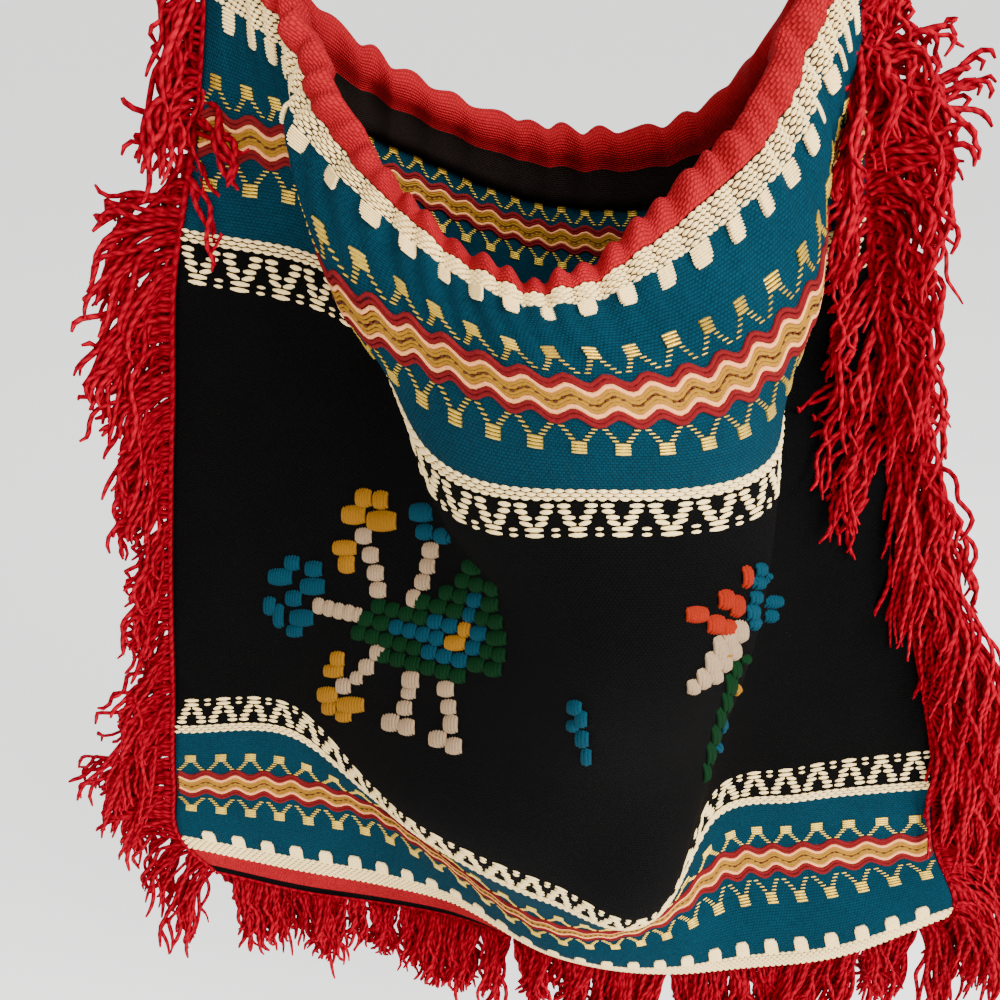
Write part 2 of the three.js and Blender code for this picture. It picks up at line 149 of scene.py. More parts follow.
# Back panel at its three inner ribs; its outer ribs are the side seams
BACK_RIBS = [0, 7, 14, 21, 28]
BACK_SECTIONS = [
    {"up": 0, "x": [-57, 10, 79], "y": [10, -18, -20], "z": [-353, -344, -352]},
    {"up": 97, "x": [-58, 10, 80], "y": [24, 18, 12], "z": [-252, -256, -258]},
    {"up": 190, "x": [-54, 8, 72], "y": [42, 47, 36], "z": [-152, -160, -158]},
    {"up": 296, "x": [-44, 8, 58], "y": [28, 35, 28], "z": [-66, -86, -82]},
    {"up": 344, "x": [-40, 6, 50], "y": [15, 25, 21], "z": [-33, -52, -46]},
]
BACK_HEM_REACH = 110.0

# Fine net that the cloth is read from
NET_ACROSS = np.linspace(0, REPEATS, REPEATS * 16 + 1)
NET_UP = np.linspace(0, CLOTH_HEIGHT, int(CLOTH_HEIGHT) + 1)


def unit(vectors):
    """Vectors of length one."""
    return vectors / np.maximum(np.linalg.norm(vectors, axis=-1, keepdims=True), 1e-9)


def knot_slopes(knots, values):
    """Slope of a smooth curve at each knot, along the first axis."""
    spans = np.diff(knots).reshape((-1,) + (1,) * (values.ndim - 1))
    rises = np.diff(values, axis=0) / spans
    inner = (rises[:-1] * spans[1:] + rises[1:] * spans[:-1]) / (spans[:-1] + spans[1:])
    return np.concatenate([rises[:1], inner, rises[-1:]])


def curve_at(knots, values, places):
    """A smooth curve through values at knots, read at places."""
    knots = np.asarray(knots, float)
    values = np.asarray(values, float)
    places = np.asarray(places, float)
    slopes = knot_slopes(knots, values)
    low = np.clip(np.searchsorted(knots, places, side="right") - 1, 0, len(knots) - 2)
    column = (-1,) + (1,) * (values.ndim - 1)
    span = (knots[low + 1] - knots[low]).reshape(column)
    w = (places - knots[low]).reshape(column) / span
    from_low = (2 * w**3 - 3 * w**2 + 1) * values[low] + (w**3 - 2 * w**2 + w) * span * slopes[low]
    from_high = (3 * w**2 - 2 * w**3) * values[low + 1] + (w**3 - w**2) * span * slopes[low + 1]
    return from_low + from_high


def section_points(sections, ups):
    """Points of every rib at heights up the cloth: height, rib, xyz."""
    table = np.array([np.stack([row["x"], row["y"], row["z"]], axis=1) for row in sections])
    return curve_at([row["up"] for row in sections], table, ups)


def across_ribs(ribs, points, places):
    """Points between the ribs: height, place, xyz."""
    return curve_at(ribs, np.swapaxes(points, 0, 1), places).swapaxes(0, 1)


def front_net():
    """The front panel's seam surface."""
    return across_ribs(RIBS, section_points(FRONT_SECTIONS, NET_UP), NET_ACROSS)


def back_net(front):
    """The back panel's seam surface, which meets the front at the sides and the bottom."""
    inner = section_points(BACK_SECTIONS, NET_UP)
    net = across_ribs(BACK_RIBS, np.concatenate([front[:, :1], inner, front[:, -1:]], axis=1), NET_ACROSS)
    fade = np.clip(1 - NET_UP / BACK_HEM_REACH, 0, 1) ** 2
    return net + (front[:1] - net[:1]) * fade[:, None, None]


def from_seams(across, reach):
    """Rises from 0 at both seams to 1, a number of repeats in."""
    return np.clip(np.minimum(across, REPEATS - across) / reach, 0, 1)


def wobble(across, waves):
    """Uneven shift of the ruffles, as a sum of sine waves."""
    return sum(wave["by"] * np.sin(wave["pace"] * across + wave["phase"]) for wave in waves)


def gather_wave(across):
    """Uneven waves of the ruffles along the rim, from -1 to 1."""
    return np.sin(2 * math.pi * GATHERS * across / REPEATS + wobble(across, GATHER_WOBBLE))


def pleat_wave(across, pleats):
    """Small pleats drawn in along the rim, with crests wider than valleys, from about -1 to 1."""
    swing = np.cos(math.pi * pleats * across / REPEATS + wobble(across, PLEAT_WOBBLE)) ** 2
    return PLEAT_SHAPE["gain"] * (swing + PLEAT_SHAPE["floor"]) ** PLEAT_SHAPE["power"] - PLEAT_SHAPE["off"]


def ruffles(across, up, pleats):
    """How far the gathered cloth waves out near the rim."""
    below = CLOTH_HEIGHT - up
    out = 0
    for wave, size in ((gather_wave(across), GATHER), (pleat_wave(across, pleats), PLEAT)):
        fade = np.clip(1 - below / size["reach"], 0, 1) ** size["fade"]
        out = out + size["depth"] * (wave * fade) * from_seams(across, size["whole"])
    return out


class ClothFace:
    """One panel as a fine net, read at any place on its cloth in millimetres."""

    def __init__(self, net, side, pleats):
        self.pleats = pleats
        across_step = np.gradient(net, axis=1)
        up_step = np.gradient(net, axis=0)
        self.out = unit(side * np.cross(across_step, up_step))
        self.up = unit(up_step)
        self.points = net + self.out * ruffles(NET_ACROSS[None, :], NET_UP[:, None], pleats)[..., None]

    def read(self, grid, across, up):
        """Values of a net between its points."""
        column = np.clip(across / CLOTH_WIDTH, 0, 1) * (len(NET_ACROSS) - 1)
        row = np.clip(up / CLOTH_HEIGHT, 0, 1) * (len(NET_UP) - 1)
        left = np.minimum(column.astype(int), len(NET_ACROSS) - 2)
        low = np.minimum(row.astype(int), len(NET_UP) - 2)
        s = (column - left)[..., None]
        t = (row - low)[..., None]
        lower = grid[low, left] * (1 - s) + grid[low, left + 1] * s
        upper = grid[low + 1, left] * (1 - s) + grid[low + 1, left + 1] * s
        return lower * (1 - t) + upper * t

    def place(self, across, up, out):
        """Points in metres, in the bag's frame. Above the rim the cloth goes on straight."""
        across, up, out = np.broadcast_arrays(*(np.asarray(v, float) for v in (across, up, out)))
        beyond = np.maximum(0, up - CLOTH_HEIGHT)[..., None]
        points = self.read(self.points, across, up) + self.read(self.out, across, up) * out[..., None]
        points = points + self.read(self.up, across, up) * beyond
        return (points - np.array([0, 0, STRAP_DROP])) * MM

    def stretch(self, across, up, aside, above):
        """How long a millimetre of the cloth is where it is gathered or drawn."""
        low = self.place(across - aside, up - above, 0)
        high = self.place(across + aside, up + above, 0)
        return np.clip(np.linalg.norm(high - low, axis=-1) / (2 * MM), *STRETCH_RANGE)

    def outward(self, across, up):
        """Directions out of the bag."""
        across, up = np.broadcast_arrays(np.asarray(across, float), np.asarray(up, float))
        return unit(self.read(self.out, across, up))


FRONT_NET = front_net()
FRONT = ClothFace(FRONT_NET, 1, FRONT_PLEATS)
BACK = ClothFace(back_net(FRONT_NET), -1, BACK_PLEATS)

# Camera of the photograph, which also places the embroidery
CAMERA_PLACE = (-0.008, -0.295, -0.245)
CAMERA_DOWN = 28.0
PICTURE = 1000
FOCAL_PIXELS = 1040.0
SENSOR = 36.0

# Ground of the cloth: the wool of each band, and where it starts in millimetres up from the bottom hem
BANDS = [
    {"wool": "black", "from": 0},
    {"wool": "hem_red", "from": 3},
    {"wool": "shade", "from": 14.4},
    {"wool": "teal", "from": 21.0},
    {"wool": "wave_red", "from": 49.4},
    {"wool": "teal", "from": 58.6},
    {"wool": "shade", "from": 81.4},
    {"wool": "black", "from": 84.3},
    {"wool": "shade", "from": 265.7},
    {"wool": "teal", "from": 268.6},
    {"wool": "wave_red", "from": 291.4},
    {"wool": "teal", "from": 300.6},
    {"wool": "shade", "from": 328.7},
]

# Raised threads of the borders, up from the bottom hem. The border at the rim is turned over.
BORDERS = {
    "bottom": {"white": 14.9, "crenel": 22.3, "wave": 54.0, "line": 81.6, "tower": 96.6, "way": 1},
    "rim": {"white": 334.8, "crenel": 327.4, "wave": 296.0, "line": 268.4, "tower": 253.4, "way": -1},
}
WHITE_BEADS = {"rows": 6, "in_repeat": 5, "tall": 1.27}
LINE_BEADS = {"rows": 3, "in_repeat": 4, "tall": 1.27}
BEAD = {"wide_share": 0.98, "tall_share": 1.14, "thick": 1.6}

# One repeat of the black and white band, counted from the field: half columns of a tower of
# stitches, their slant, and how wide they are
HALF_COLUMN = REPEAT / 8
TOWER_PITCH = 2.02
TOWER_THICK = 1.3
TOWER_CHART = [
    {"row": 0, "at": [0], "wide": 4.8, "tall": 1.85, "slant": 0},
    {"row": 1, "at": [0], "wide": 4.8, "tall": 1.85, "slant": 0},
    {"row": 0, "at": [4], "wide": 2.2, "tall": 1.4, "slant": 0},
    {"row": 1, "at": [4], "wide": 2.1, "tall": 1.3, "slant": 0},
    {"row": 2, "at": [-1.4, 1.4], "wide": 3.3, "tall": 1.8, "slant": 18},
    {"row": 3, "at": [-1.55, 1.55], "wide": 3.3, "tall": 1.85, "slant": 3},
    {"row": 4, "at": [-2.35, 2.35], "wide": 3.2, "tall": 1.85, "slant": 6},
    {"row": 5, "at": [-2.5, 2.5], "wide": 3.3, "tall": 1.85, "slant": 0},
]

# White blocks that hang from the white band, as stacked threads, the last ones shorter
CRENEL = {"threads": 7, "wide": 4.8, "pitch": 0.78, "tall_share": 1.15, "thick": 1.5, "raised": 0.2}
CRENEL_ENDS = [0.72, 0.92]

# Gold threads beside the wave: a square of long floats and two legs of short ones, counted
# outwards from the wave
GOLD_START = 7.9
GOLD_LEG = {"pitch": 1.1, "wide": 1.7, "tall": 0.55, "thick": 0.6, "off": [4.1, 3.3, 2.4, 1.8]}
GOLD_SQUARE = {"count": 4, "pitch": 0.95, "wide": 4.0, "tall": 1.0, "thick": 0.9}

# Cords of the wave: how far above or below its middle, how thick, and in which wool
WAVE_RISE = 1.35
WAVE_CORDS = [
    {"wool": "wave_red", "from_middle": [4.25, 5.55], "thick": 1.65},
    {"wool": "wave_cream", "from_middle": [2.95], "thick": 1.6},
    {"wool": "yellow", "from_middle": [0.75, 1.75], "thick": 1.35},
]
WAVE_POINTS = 8
WAVE_STEP = 0.0016
WAVE_FLATNESS = 0.8
WAVE_TIES = {"in_repeat": 5, "wide": 1.2, "tall": 0.7, "thick": 0.7}
TIE_COLOUR = (0.09, 0.03, 0.02)

# How far threads lie off the surface of the cloth
RAISED = {"gold": 0.15, "wave": 0.1, "ties": 0.6}

# White threads of the borders, and how full a stitch is at its ends
WHITE_ENDS = {"beads": 0.24, "blocks": 0.75, "towers": 0.4}
GOLD_ENDS = 0.7

# Fringes: where along the seam (0 to 1) the locks reach how far out, to the front and down
FRINGES = {
    "left": [
        {"along": 0.00, "out": 27, "fore": 2, "fall": 16, "low": 0.5},
        {"along": 0.13, "out": 27, "fore": 3, "fall": 12, "low": 0.5},
        {"along": 0.24, "out": 34, "fore": 3, "fall": 12, "low": 0.5},
        {"along": 0.36, "out": 19, "fore": 4, "fall": 14, "low": 0.45},
        {"along": 0.52, "out": 17, "fore": 4, "fall": 14, "low": 0.45},
        {"along": 0.67, "out": 22, "fore": 3, "fall": 11, "low": 0.5},
        {"along": 0.83, "out": 21, "fore": 3, "fall": 14, "low": 0.5},
        {"along": 1.00, "out": 20, "fore": 2, "fall": 22, "low": 0.4},
    ],
    "right": [
        {"along": 0.00, "out": 30, "fore": 2, "fall": 30, "low": 0.35},
        {"along": 0.20, "out": 40, "fore": 4, "fall": 36, "low": 0.35},
        {"along": 0.37, "out": 40, "fore": 6, "fall": 40, "low": 0.35},
        {"along": 0.57, "out": 30, "fore": 8, "fall": 40, "low": 0.25},
        {"along": 0.67, "out": 32, "fore": 6, "fall": 30, "low": 0.25},
        {"along": 0.80, "out": 31, "fore": 5, "fall": 22, "low": 0.4},
        {"along": 0.90, "out": 37, "fore": 4, "fall": 12, "low": 0.5},
        {"along": 1.00, "out": 26, "fore": 2, "fall": 10, "low": 0.4},
    ],
    "bottom": [
        {"along": 0.00, "out": 20, "fore": 2, "fall": 9, "low": 0.45},
        {"along": 0.15, "out": 15, "fore": 4, "fall": 9, "low": 0.4},
        {"along": 0.45, "out": 18, "fore": 7, "fall": 11, "low": 0.4},
        {"along": 0.60, "out": 17, "fore": 9, "fall": 11, "low": 0.4},
        {"along": 0.80, "out": 21, "fore": 7, "fall": 12, "low": 0.4},
        {"along": 1.00, "out": 28, "fore": 4, "fall": 16, "low": 0.45},
    ],
}

# Locks that fall inwards over the cloth
INNER_LOCKS = [
    {"fringe": "right", "from": 0.57, "to": 0.68, "share": 0.5,
     "out": -27, "fore": 12, "fall": 6, "low": 0.5},
    {"fringe": "right", "from": 0.68, "to": 0.97, "share": 0.14,
     "out": -15, "fore": 11, "fall": 16, "low": 0.5},
    {"fringe": "left", "from": 0.84, "to": 0.92, "share": 0.3,
     "out": -14, "fore": 8, "fall": 12, "low": 0.5},
]
FRINGE_TOP = 330.0
SEAM_POINTS = 200
CORD_OFF = 1.5
SEAM_STEP = 4
CORNER_FAN = {"reach": 0.07, "down": 0.9}
BOTTOM_FAN = {"reach": 0.15, "aside": 0.85}

# How each fringe hangs: its share of the strands, its clumps and how far they draw together, their
# spread along the seam and to the front, the flicked tips, and how far back it hangs
FRINGE_HANG = {
    "left": {"share": 0.8, "clumps": 32, "gather": 0.75,
             "lean": 4.0, "fore": 3.5, "flick": 3.0, "behind": 2.0},
    "right": {"share": 1.5, "clumps": 42, "gather": 0.5,
              "lean": 4.0, "fore": 5.0, "flick": 4.0, "behind": 6.0},
    "bottom": {"share": 1.35, "clumps": 40, "gather": 0.45,
               "lean": 5.0, "fore": 4.0, "flick": 0.0, "behind": 2.0},
}

# How clumps and strands differ: spreads of normal draws, and the ranges of even ones
CLUMP = {"long": 0.1, "spread": 0.5}
STRAND = {
    "long": 0.1, "reach": 0.13, "reach_range": (0.1, 1.1), "least_fall": 3.0, "fore": 2.5,
    "fray": 3.5, "flick": (0.3, 1), "phase": (0, 6.3), "pace": (7, 15), "root": 1.3,
    "girth": (0.85, 1.12), "tone": (0.8, 1.12),
}
STRAND_POINTS = 14
STRAND_STEP = 0.0025
STRAND_TIP = [0.85, 0.5]
# Painted shade along a strand, darkest at its root among the other strands and a little lighter at its tip
STRAND_ROOT_SHADE = (0.7, 1.06)
CURL = {"start": 4, "least": 0.6, "growth": 0.8, "skew": 0.93}

# The two heading cords that the strands are knotted on, darker with painted shade among the roots
HEADING = {"aside": 0.9, "skip": 3, "girth": 1.5, "tone": 0.75}

# Strap route on the left half, in millimetres from the mouth corners
STRAP_ROUTE = [(-83.35, -9), (-81.85, 4), (-77, 28), (-58, 96), (-34, 172), (-19, 218), (-10, 236)]
STRAP_WIDTH = 22.0
STRAP_THICK = 3.0
STRAP_STEPS = 96
STRAP_RIBS = 6
STRAP_EDGE = {"thin": 0.55, "power": 8}
STRAP_GROOVE = 0.18

# Stitches that sew a strap end on: where they run beside the left mouth corner, up from it, and how far
# they fan out from front to back
LASHING_COUNT = 8
LASHING_HALF = 9.0
LASHING_SEAM = -3.0
LASHING_STEP = 0.0012
LASHING = [
    {"x": -83.6, "z": -2.5, "fan": 1.0},
    {"x": -85.3, "z": -4.5, "fan": 1.0},
    {"x": -85.6, "z": -8.5, "fan": 0.92},
    {"x": -84.6, "z": -11.5, "fan": 0.7},
    {"x": -81.6, "z": -14.5, "fan": 0.42},
    {"x": -79.0, "z": -16.0, "fan": 0.3},
]

# Hem roll: its sizes, the steps between the rows of its shape, and those rows: their height as a share
# of the roll's, how far out of the cloth they lie, and how much they swell with the pleats
HEM_START = 7.4
HEM_COLUMNS = 10
HEM_CLOSING = 3
HEM_DROP = 1.0
HEM_TURN = 6.5
HEM_SWELL = 0.5
HEM_STEPS = [1, 1, 2, 3, 3, 3, 3, 3, 2, 3]
FACING_WALL = 1.2
FACING_GAP = 0.1
FACING_TUCK = 4.0
FACING_FOOT = 312.0
ROLL_OUTSIDE = [
    {"share": 0, "out": 2.4, "swell": 0},
    {"share": 0.45, "out": 3.6, "swell": 0.3},
    {"share": 0.88, "out": 3.0, "swell": 0.3},
    {"share": 1.14, "out": 0.9, "swell": 0},
]
ROLL_INSIDE = [
    {"share": 0.9, "out": 1.0, "swell": 0.3},
    {"share": 0.1, "out": 1.9, "swell": 0.3},
]

# How a place on the cloth is found from the picture: the spacing of a first net, how near in pixels and
# in depth a first guess lies, and the steps that better it
FINDER = {"net": 1.5, "near": 6.0, "slack": 1, "deep": 0.012,
          "step": 0.5, "rounds": 4, "steady": 0.02, "longest": 2.5}

# Embroidery as it shows in the picture, in its pixels, in satin blocks of upright threads
THREAD_PIXELS = 2.8
THREAD_RISE = 1.35
THREAD_POINTS = 7
THREAD_ROUND = 0.4
THREAD_SUNK = 0.5
THREAD_END = 0.85
THREAD_STEP = 0.0014
THREAD_FLATNESS = 0.8
BLOCK_SHARE = 0.94
BLOCK_ROUND = 0.9
BLOCK_FALL = 1.6
PIXEL_REACH = 0.75

# Blocks of the figures: the middle of a block, its width and its height
BLOCK_COLUMNS = ("x", "y", "wide", "tall")
FIGURES = {
    "gold_thread": [
        (364, 498, 16, 20), (381, 500, 15, 20), (354, 515, 24, 20), (382, 521, 30, 22),
        (345, 548, 24, 16), (347, 564, 16, 20),
        (338, 659, 14, 16), (334, 671, 20, 14), (328, 695, 21, 17), (329.5, 708, 15, 15),
        (351, 705, 28, 17), (344, 716, 16, 13),
        (727, 654, 5, 9), (736.6, 690, 5, 10),
    ],
    "white_thread": [
        (364, 536, 16, 17), (371, 555, 16, 17), (376, 573, 16, 17), (378.5, 590, 16, 17),
        (319, 606, 10, 17), (329, 608.5, 10, 17), (339, 611, 10, 17), (349, 613, 10, 17), (358, 615, 9, 16),
        (431, 550.5, 16, 17), (428, 566, 15, 17), (423, 582, 15, 17), (414, 598.5, 13, 19),
        (378, 653, 15, 17), (367, 667, 15, 17), (357, 678, 12, 14), (344, 686, 15, 17),
        (411, 680, 17, 19), (409, 693, 14, 13), (405, 708, 15, 16), (391, 722.5, 18, 19), (407, 727, 16, 18),
        (446, 689, 16, 17), (449, 707, 15, 16), (451, 724, 14, 20), (438, 739, 18, 18), (454, 746, 16, 18),
        (739, 632, 15, 24), (729, 639, 13, 26), (733, 651, 13, 20), (720, 649, 13, 28), (724, 662, 12, 22),
        (712, 664, 13, 26), (715, 676, 12, 16), (703, 679, 12, 22), (693, 687, 11, 15),
    ],
    "blue_thread": [
        (292.5, 563, 15, 16), (280.5, 577, 24, 18), (314, 569, 17, 17), (313, 586.5, 25, 18),
        (294, 598.5, 16, 17), (270, 606, 12, 20), (279, 616, 10, 26), (302, 618, 24, 18), (295, 631, 16, 13),
        (422, 512.5, 24, 20), (425, 532, 17, 17), (443, 536, 17, 17),
        (760.6, 569.9, 10, 14), (770.6, 579.8, 15, 13), (759, 583, 14, 13), (755.6, 598, 12, 14),
        (773, 602, 20, 13), (752.3, 613, 12, 18), (770.6, 616.3, 14, 13), (754.8, 623.7, 13, 13),
        (574.9, 707.5, 13, 15), (573.2, 725.7, 11, 11), (581.5, 719, 10, 18), (582.3, 739, 12, 18),
        (586.5, 757, 9, 18), (722.5, 725.7, 4, 20), (717.5, 752, 5, 25),
    ],
    "green_thread": [
        (745.7, 659.4, 10, 9), (735, 670, 9, 20), (730.5, 685, 10, 24), (726, 702.5, 9, 24),
        (720, 719, 8, 24), (715, 735.7, 8, 24), (710, 754, 8, 26), (705.5, 773, 6, 22),
    ],
    "orange_thread": [
        (696.8, 614.6, 21, 17), (725.8, 599.7, 15, 21), (736.6, 606.3, 13, 23), (746.5, 577, 9, 24),
        (715.8, 624.6, 17, 20), (727.4, 628, 15, 17),
    ],
}

# Rows of the bird's body, which slope down to the right: the runs of each wool from x to x
BODY_X = 425
BODY_LEVEL = 634.8
BODY_SLOPE = 0.27
BODY_ROW = 16
BODY_BLOCK = 15
BODY_ROWS = [
    {"row": -5, "runs": [("green_thread", 462, 481)]},
    {"row": -4, "runs": [("green_thread", 456, 499)]},
    {"row": -3, "runs": [("green_thread", 440, 468), ("blue_thread", 468, 482), ("green_thread", 482, 499)]},
    {"row": -2, "runs": [("green_thread", 414, 464), ("blue_thread", 464, 476), ("green_thread", 476, 503)]},
    {"row": -1, "runs": [("green_thread", 372, 428), ("blue_thread", 428, 458), ("gold_thread", 459, 471),
                         ("blue_thread", 471, 487), ("green_thread", 487, 507)]},
    {"row": 0, "runs": [("green_thread", 358, 390), ("blue_thread", 390, 444), ("gold_thread", 445, 466),
                        ("blue_thread", 466, 481), ("green_thread", 481, 506)]},
    {"row": 1, "runs": [("green_thread", 352, 422), ("blue_thread", 422, 468), ("green_thread", 468, 502)]},
    {"row": 2, "runs": [("green_thread", 376, 466)]},
]

# Wool surfaces
MATT = {"Roughness": 0.92, "Specular IOR Level": 0.03}
FIBRE = {"fine_share": 0.65, "broad_share": 0.35, "broad_scale": 55.0, "gain": 4.0}
WEAVE = {"across_power": 0.5, "up_power": 0.6, "gap_gain": 1.8, "gap_blend": 0.2}
CLOTH_FIBRES = 900.0
FUZZ_SHARE = 0.5
# Painted light on the reverse of the panels: their colours inside the bag are lightened, standing in for
# light that falls into the mouth
REVERSE_PAINTED_LIGHT = 1.5

# Weaves: width and height of a thread in millimetres, how much and how far painted shade darkens the gaps
# between threads, how uneven the wool is, and the strength and depth of its relief
PLAIN_WEAVE = {"gap": 0.7, "dark": 0.3, "uneven": 0.2, "relief": 0.7, "deep": 0.0005}
WEAVES = {
    "cloth": {"wide": 1.1, "tall": 0.9, "gap": 0.75, "dark": 0.25, "uneven": 0.3, "relief": 0.65,
              "deep": 0.0004},
    "hem": {"wide": 1.25, "tall": 1.05, **PLAIN_WEAVE},
    "facing": {"wide": 0.9, "tall": 0.8, **PLAIN_WEAVE},
    "strap": {"wide": 1.0, "tall": 1.6, **PLAIN_WEAVE},
}

# Threads: how uneven the wool is, how fine its fibres are, and the strength and depth of its relief
THREADS = {
    "wool": {"uneven": 0.22, "fibres": 1100.0, "relief": 0.6, "deep": 0.0004},
    "white": {"uneven": 0.16, "fibres": 1100.0, "relief": 0.6, "deep": 0.0004},
    "embroidery": {"uneven": 0.2, "fibres": 1500.0, "relief": 0.6, "deep": 0.0003},
    "yarn": {"uneven": 0.26, "fibres": 1300.0, "relief": 0.7, "deep": 0.0005},
    "gold": {"uneven": 0.3, "fibres": 1800.0, "relief": 0.5, "deep": 0.0002},
}
GOLD_SHINE = {"metallic": 0.75, "smoothest": 0.22, "rougher": 0.3}
# Ply twist of the fringe yarn: the roundness of its ridges, painted shade in its groove as the darkest share
# and the gain to the ridge, and the share of fuzz in its relief
TWIST = {"round": 0.5, "dark": 0.4, "light": 0.7, "fuzz": 0.4}

# Stage under and around the hanging bag, in metres
FLOOR_HALF = 30.0
FLOOR_LEVEL = -0.8
FLOOR_PAINT = {
    "Roughness": 0.95,
    "Base Color": (0.97, 0.97, 0.96, 1),
    "Emission Color": (1, 1, 0.99, 1),
    "Emission Strength": 0.8,
}
STUDIO = {"Color": (1, 0.985, 0.97, 1), "Strength": 0.85}
LIGHT_GOAL = (0.0, -0.02, -0.42)
LIGHTS = [
    {"name": "key_light", "place": (0.8, -0.8, 0.2), "size": 0.7, "power": 29},
    {"name": "fill_light", "place": (0.1, -0.9, 0.4), "size": 0.8, "power": 11},
]


def colour_property(label, note, rgb):
    """A colour that a user may change, given in display values."""
    linear = [((c + 0.055) / 1.055) ** 2.4 if c > 0.04045 else c / 12.92 for c in rgb]
    return FloatVectorProperty(name=label, description=note, subtype="COLOR", size=3, min=0, max=1,
                               default=linear)


class BagColours(PropertyGroup):
    """Wool colours."""

    black: colour_property("Black", "Field of the cloth", (0.03, 0.028, 0.028))
    # The facing is black wool; this colour lifts it with painted light, standing in for light that falls
    # into the mouth
    facing: colour_property("Facing", "Facing behind the hem rolls", (0.13, 0.1, 0.088))
    shade: colour_property("Shade", "Ground between the white beads", (0.24, 0.2, 0.17))
    teal: colour_property("Teal", "Ground of the borders", (0.055, 0.19, 0.245))
    cream: colour_property("Cream", "White wool of the bands", (1.0, 0.88, 0.62))
    wave_cream: colour_property("Wave cream", "Thin cords of the wave", (0.92, 0.62, 0.4))
    hem_red: colour_property("Hem red", "Hem roll at the mouth", (0.6, 0.095, 0.125))
    wave_red: colour_property("Wave red", "Outer cords of the wave", (0.43, 0.095, 0.105))
    yellow: colour_property("Yellow", "Middle cords of the wave", (0.6, 0.425, 0.14))
    gold: colour_property("Gold", "Metallic threads beside the wave", (0.84, 0.7, 0.25))
    fringe: colour_property("Fringe", "Yarn of the fringes", (0.62, 0.0, 0.11))
    strap: colour_property("Strap", "Woven strap", (0.7, 0.07, 0.09))
    white_thread: colour_property("White thread", "Embroidered stems and legs", (0.6, 0.5, 0.39))
    gold_thread: colour_property("Yellow thread", "Embroidered flowers", (0.54, 0.365, 0.09))
    blue_thread: colour_property("Blue thread", "Embroidered flowers and wing", (0.065, 0.215, 0.27))
    green_thread: colour_property("Green thread", "Embroidered body and stem", (0.03, 0.155, 0.07))
    orange_thread: colour_property("Orange thread", "Embroidered petals", (0.525, 0.135, 0.07))


class BagSizes(PropertyGroup):
    """Sizes of yarns and the fineness of the cloth."""

    panel_columns: IntProperty(name="Columns", description="Cloth columns in each repeat", default=6, min=3)
    panel_rows: IntProperty(name="Rows", description="Cloth rows up the panel", default=84, min=20)
    yarn: FloatProperty(name="Fringe yarn", description="Thickness of a fringe strand",
                        default=0.0016, subtype="DISTANCE", unit="LENGTH")
    ply: FloatProperty(name="Ply length", description="Length of one twist of the yarn",
                       default=0.0036, subtype="DISTANCE", unit="LENGTH")
    strands: IntProperty(name="Strands", description="Strands in a fringe of middle thickness",
                         default=800, min=10)
    curl: FloatProperty(name="Curl", description="How far a strand waves about its way",
                        default=0.0012, subtype="DISTANCE", unit="LENGTH")
    thread: FloatProperty(name="Thread", description="Thickness of the embroidery thread",
                          default=0.00165, subtype="DISTANCE", unit="LENGTH")
    seed: IntProperty(name="Seed", description="Start of the random numbers", default=7)


class NodeNet:
    """Adds nodes to a tree and joins them."""

    def __init__(self, tree):
        self.tree = tree

    def put(self, socket, value):
        """Joins a socket to another, or sets its value."""
        if isinstance(value, bpy.types.NodeSocket):
            self.tree.links.new(value, socket)
        else:
            socket.default_value = value

    def add(self, kind, inputs=None, **settings):
        """A node with its settings and its inputs by name or number."""
        node = self.tree.nodes.new(kind)
        for name, value in settings.items():
            setattr(node, name, value)
        for key, value in (inputs or {}).items():
            self.put(node.inputs[key], value)
        return node

    def math(self, operation, *values):
        """One step of arithmetic."""
        node = self.add("ShaderNodeMath", dict(enumerate(values)), operation=operation)
        return node.outputs[0]

    def mix(self, blend, factor, low, high):
        """Two colours mixed."""
        node = self.add("ShaderNodeMix", data_type="RGBA", blend_type=blend)
        self.put(node.inputs[0], factor)
        self.put(node.inputs[6], low)
        self.put(node.inputs[7], high)
        return node.outputs[2]


def new_group(name, kind, inputs, outputs):
    """A node group with named sockets: its net, its input node and its output node."""
    tree = bpy.data.node_groups.new(name, kind)
    for label, socket, default in inputs:
        made = tree.interface.new_socket(label, in_out="INPUT", socket_type=socket)
        if default is not None:
            made.default_value = default
    for label, socket in outputs:
        tree.interface.new_socket(label, in_out="OUTPUT", socket_type=socket)
    net = NodeNet(tree)
    return net, net.add("NodeGroupInput"), net.add("NodeGroupOutput")


def wool_group():
    """Uneven wool: lighter and darker fibres over a colour, and a fuzzy height."""
    net, given, made = new_group(
        "Uneven wool", "ShaderNodeTree",
        [("Colour", "NodeSocketColor", (1, 1, 1, 1)), ("Spread", "NodeSocketFloat", 0.25),
         ("Fibres", "NodeSocketFloat", 900.0)],
        [("Colour", "NodeSocketColor"), ("Height", "NodeSocketFloat")])
    place = net.add("ShaderNodeTexCoord").outputs["Object"]
    fine = net.add("ShaderNodeTexNoise", {"Vector": place, "Scale": given.outputs["Fibres"], "Detail": 3.0})
    broad = net.add("ShaderNodeTexNoise", {"Vector": place, "Scale": FIBRE["broad_scale"], "Detail": 2.0})
    both = net.math("ADD", net.math("MULTIPLY", fine.outputs[0], FIBRE["fine_share"]),
                    net.math("MULTIPLY", broad.outputs[0], FIBRE["broad_share"]))
    spread = net.math("MULTIPLY", given.outputs["Spread"], FIBRE["gain"])
    value = net.math("ADD", 1.0, net.math("MULTIPLY", net.math("SUBTRACT", both, 0.5), spread))
    shaded = net.add("ShaderNodeHueSaturation", {"Value": value, "Color": given.outputs["Colour"]})
    net.put(made.inputs["Colour"], shaded.outputs[0])
    net.put(made.inputs["Height"], fine.outputs[0])
    return net.tree


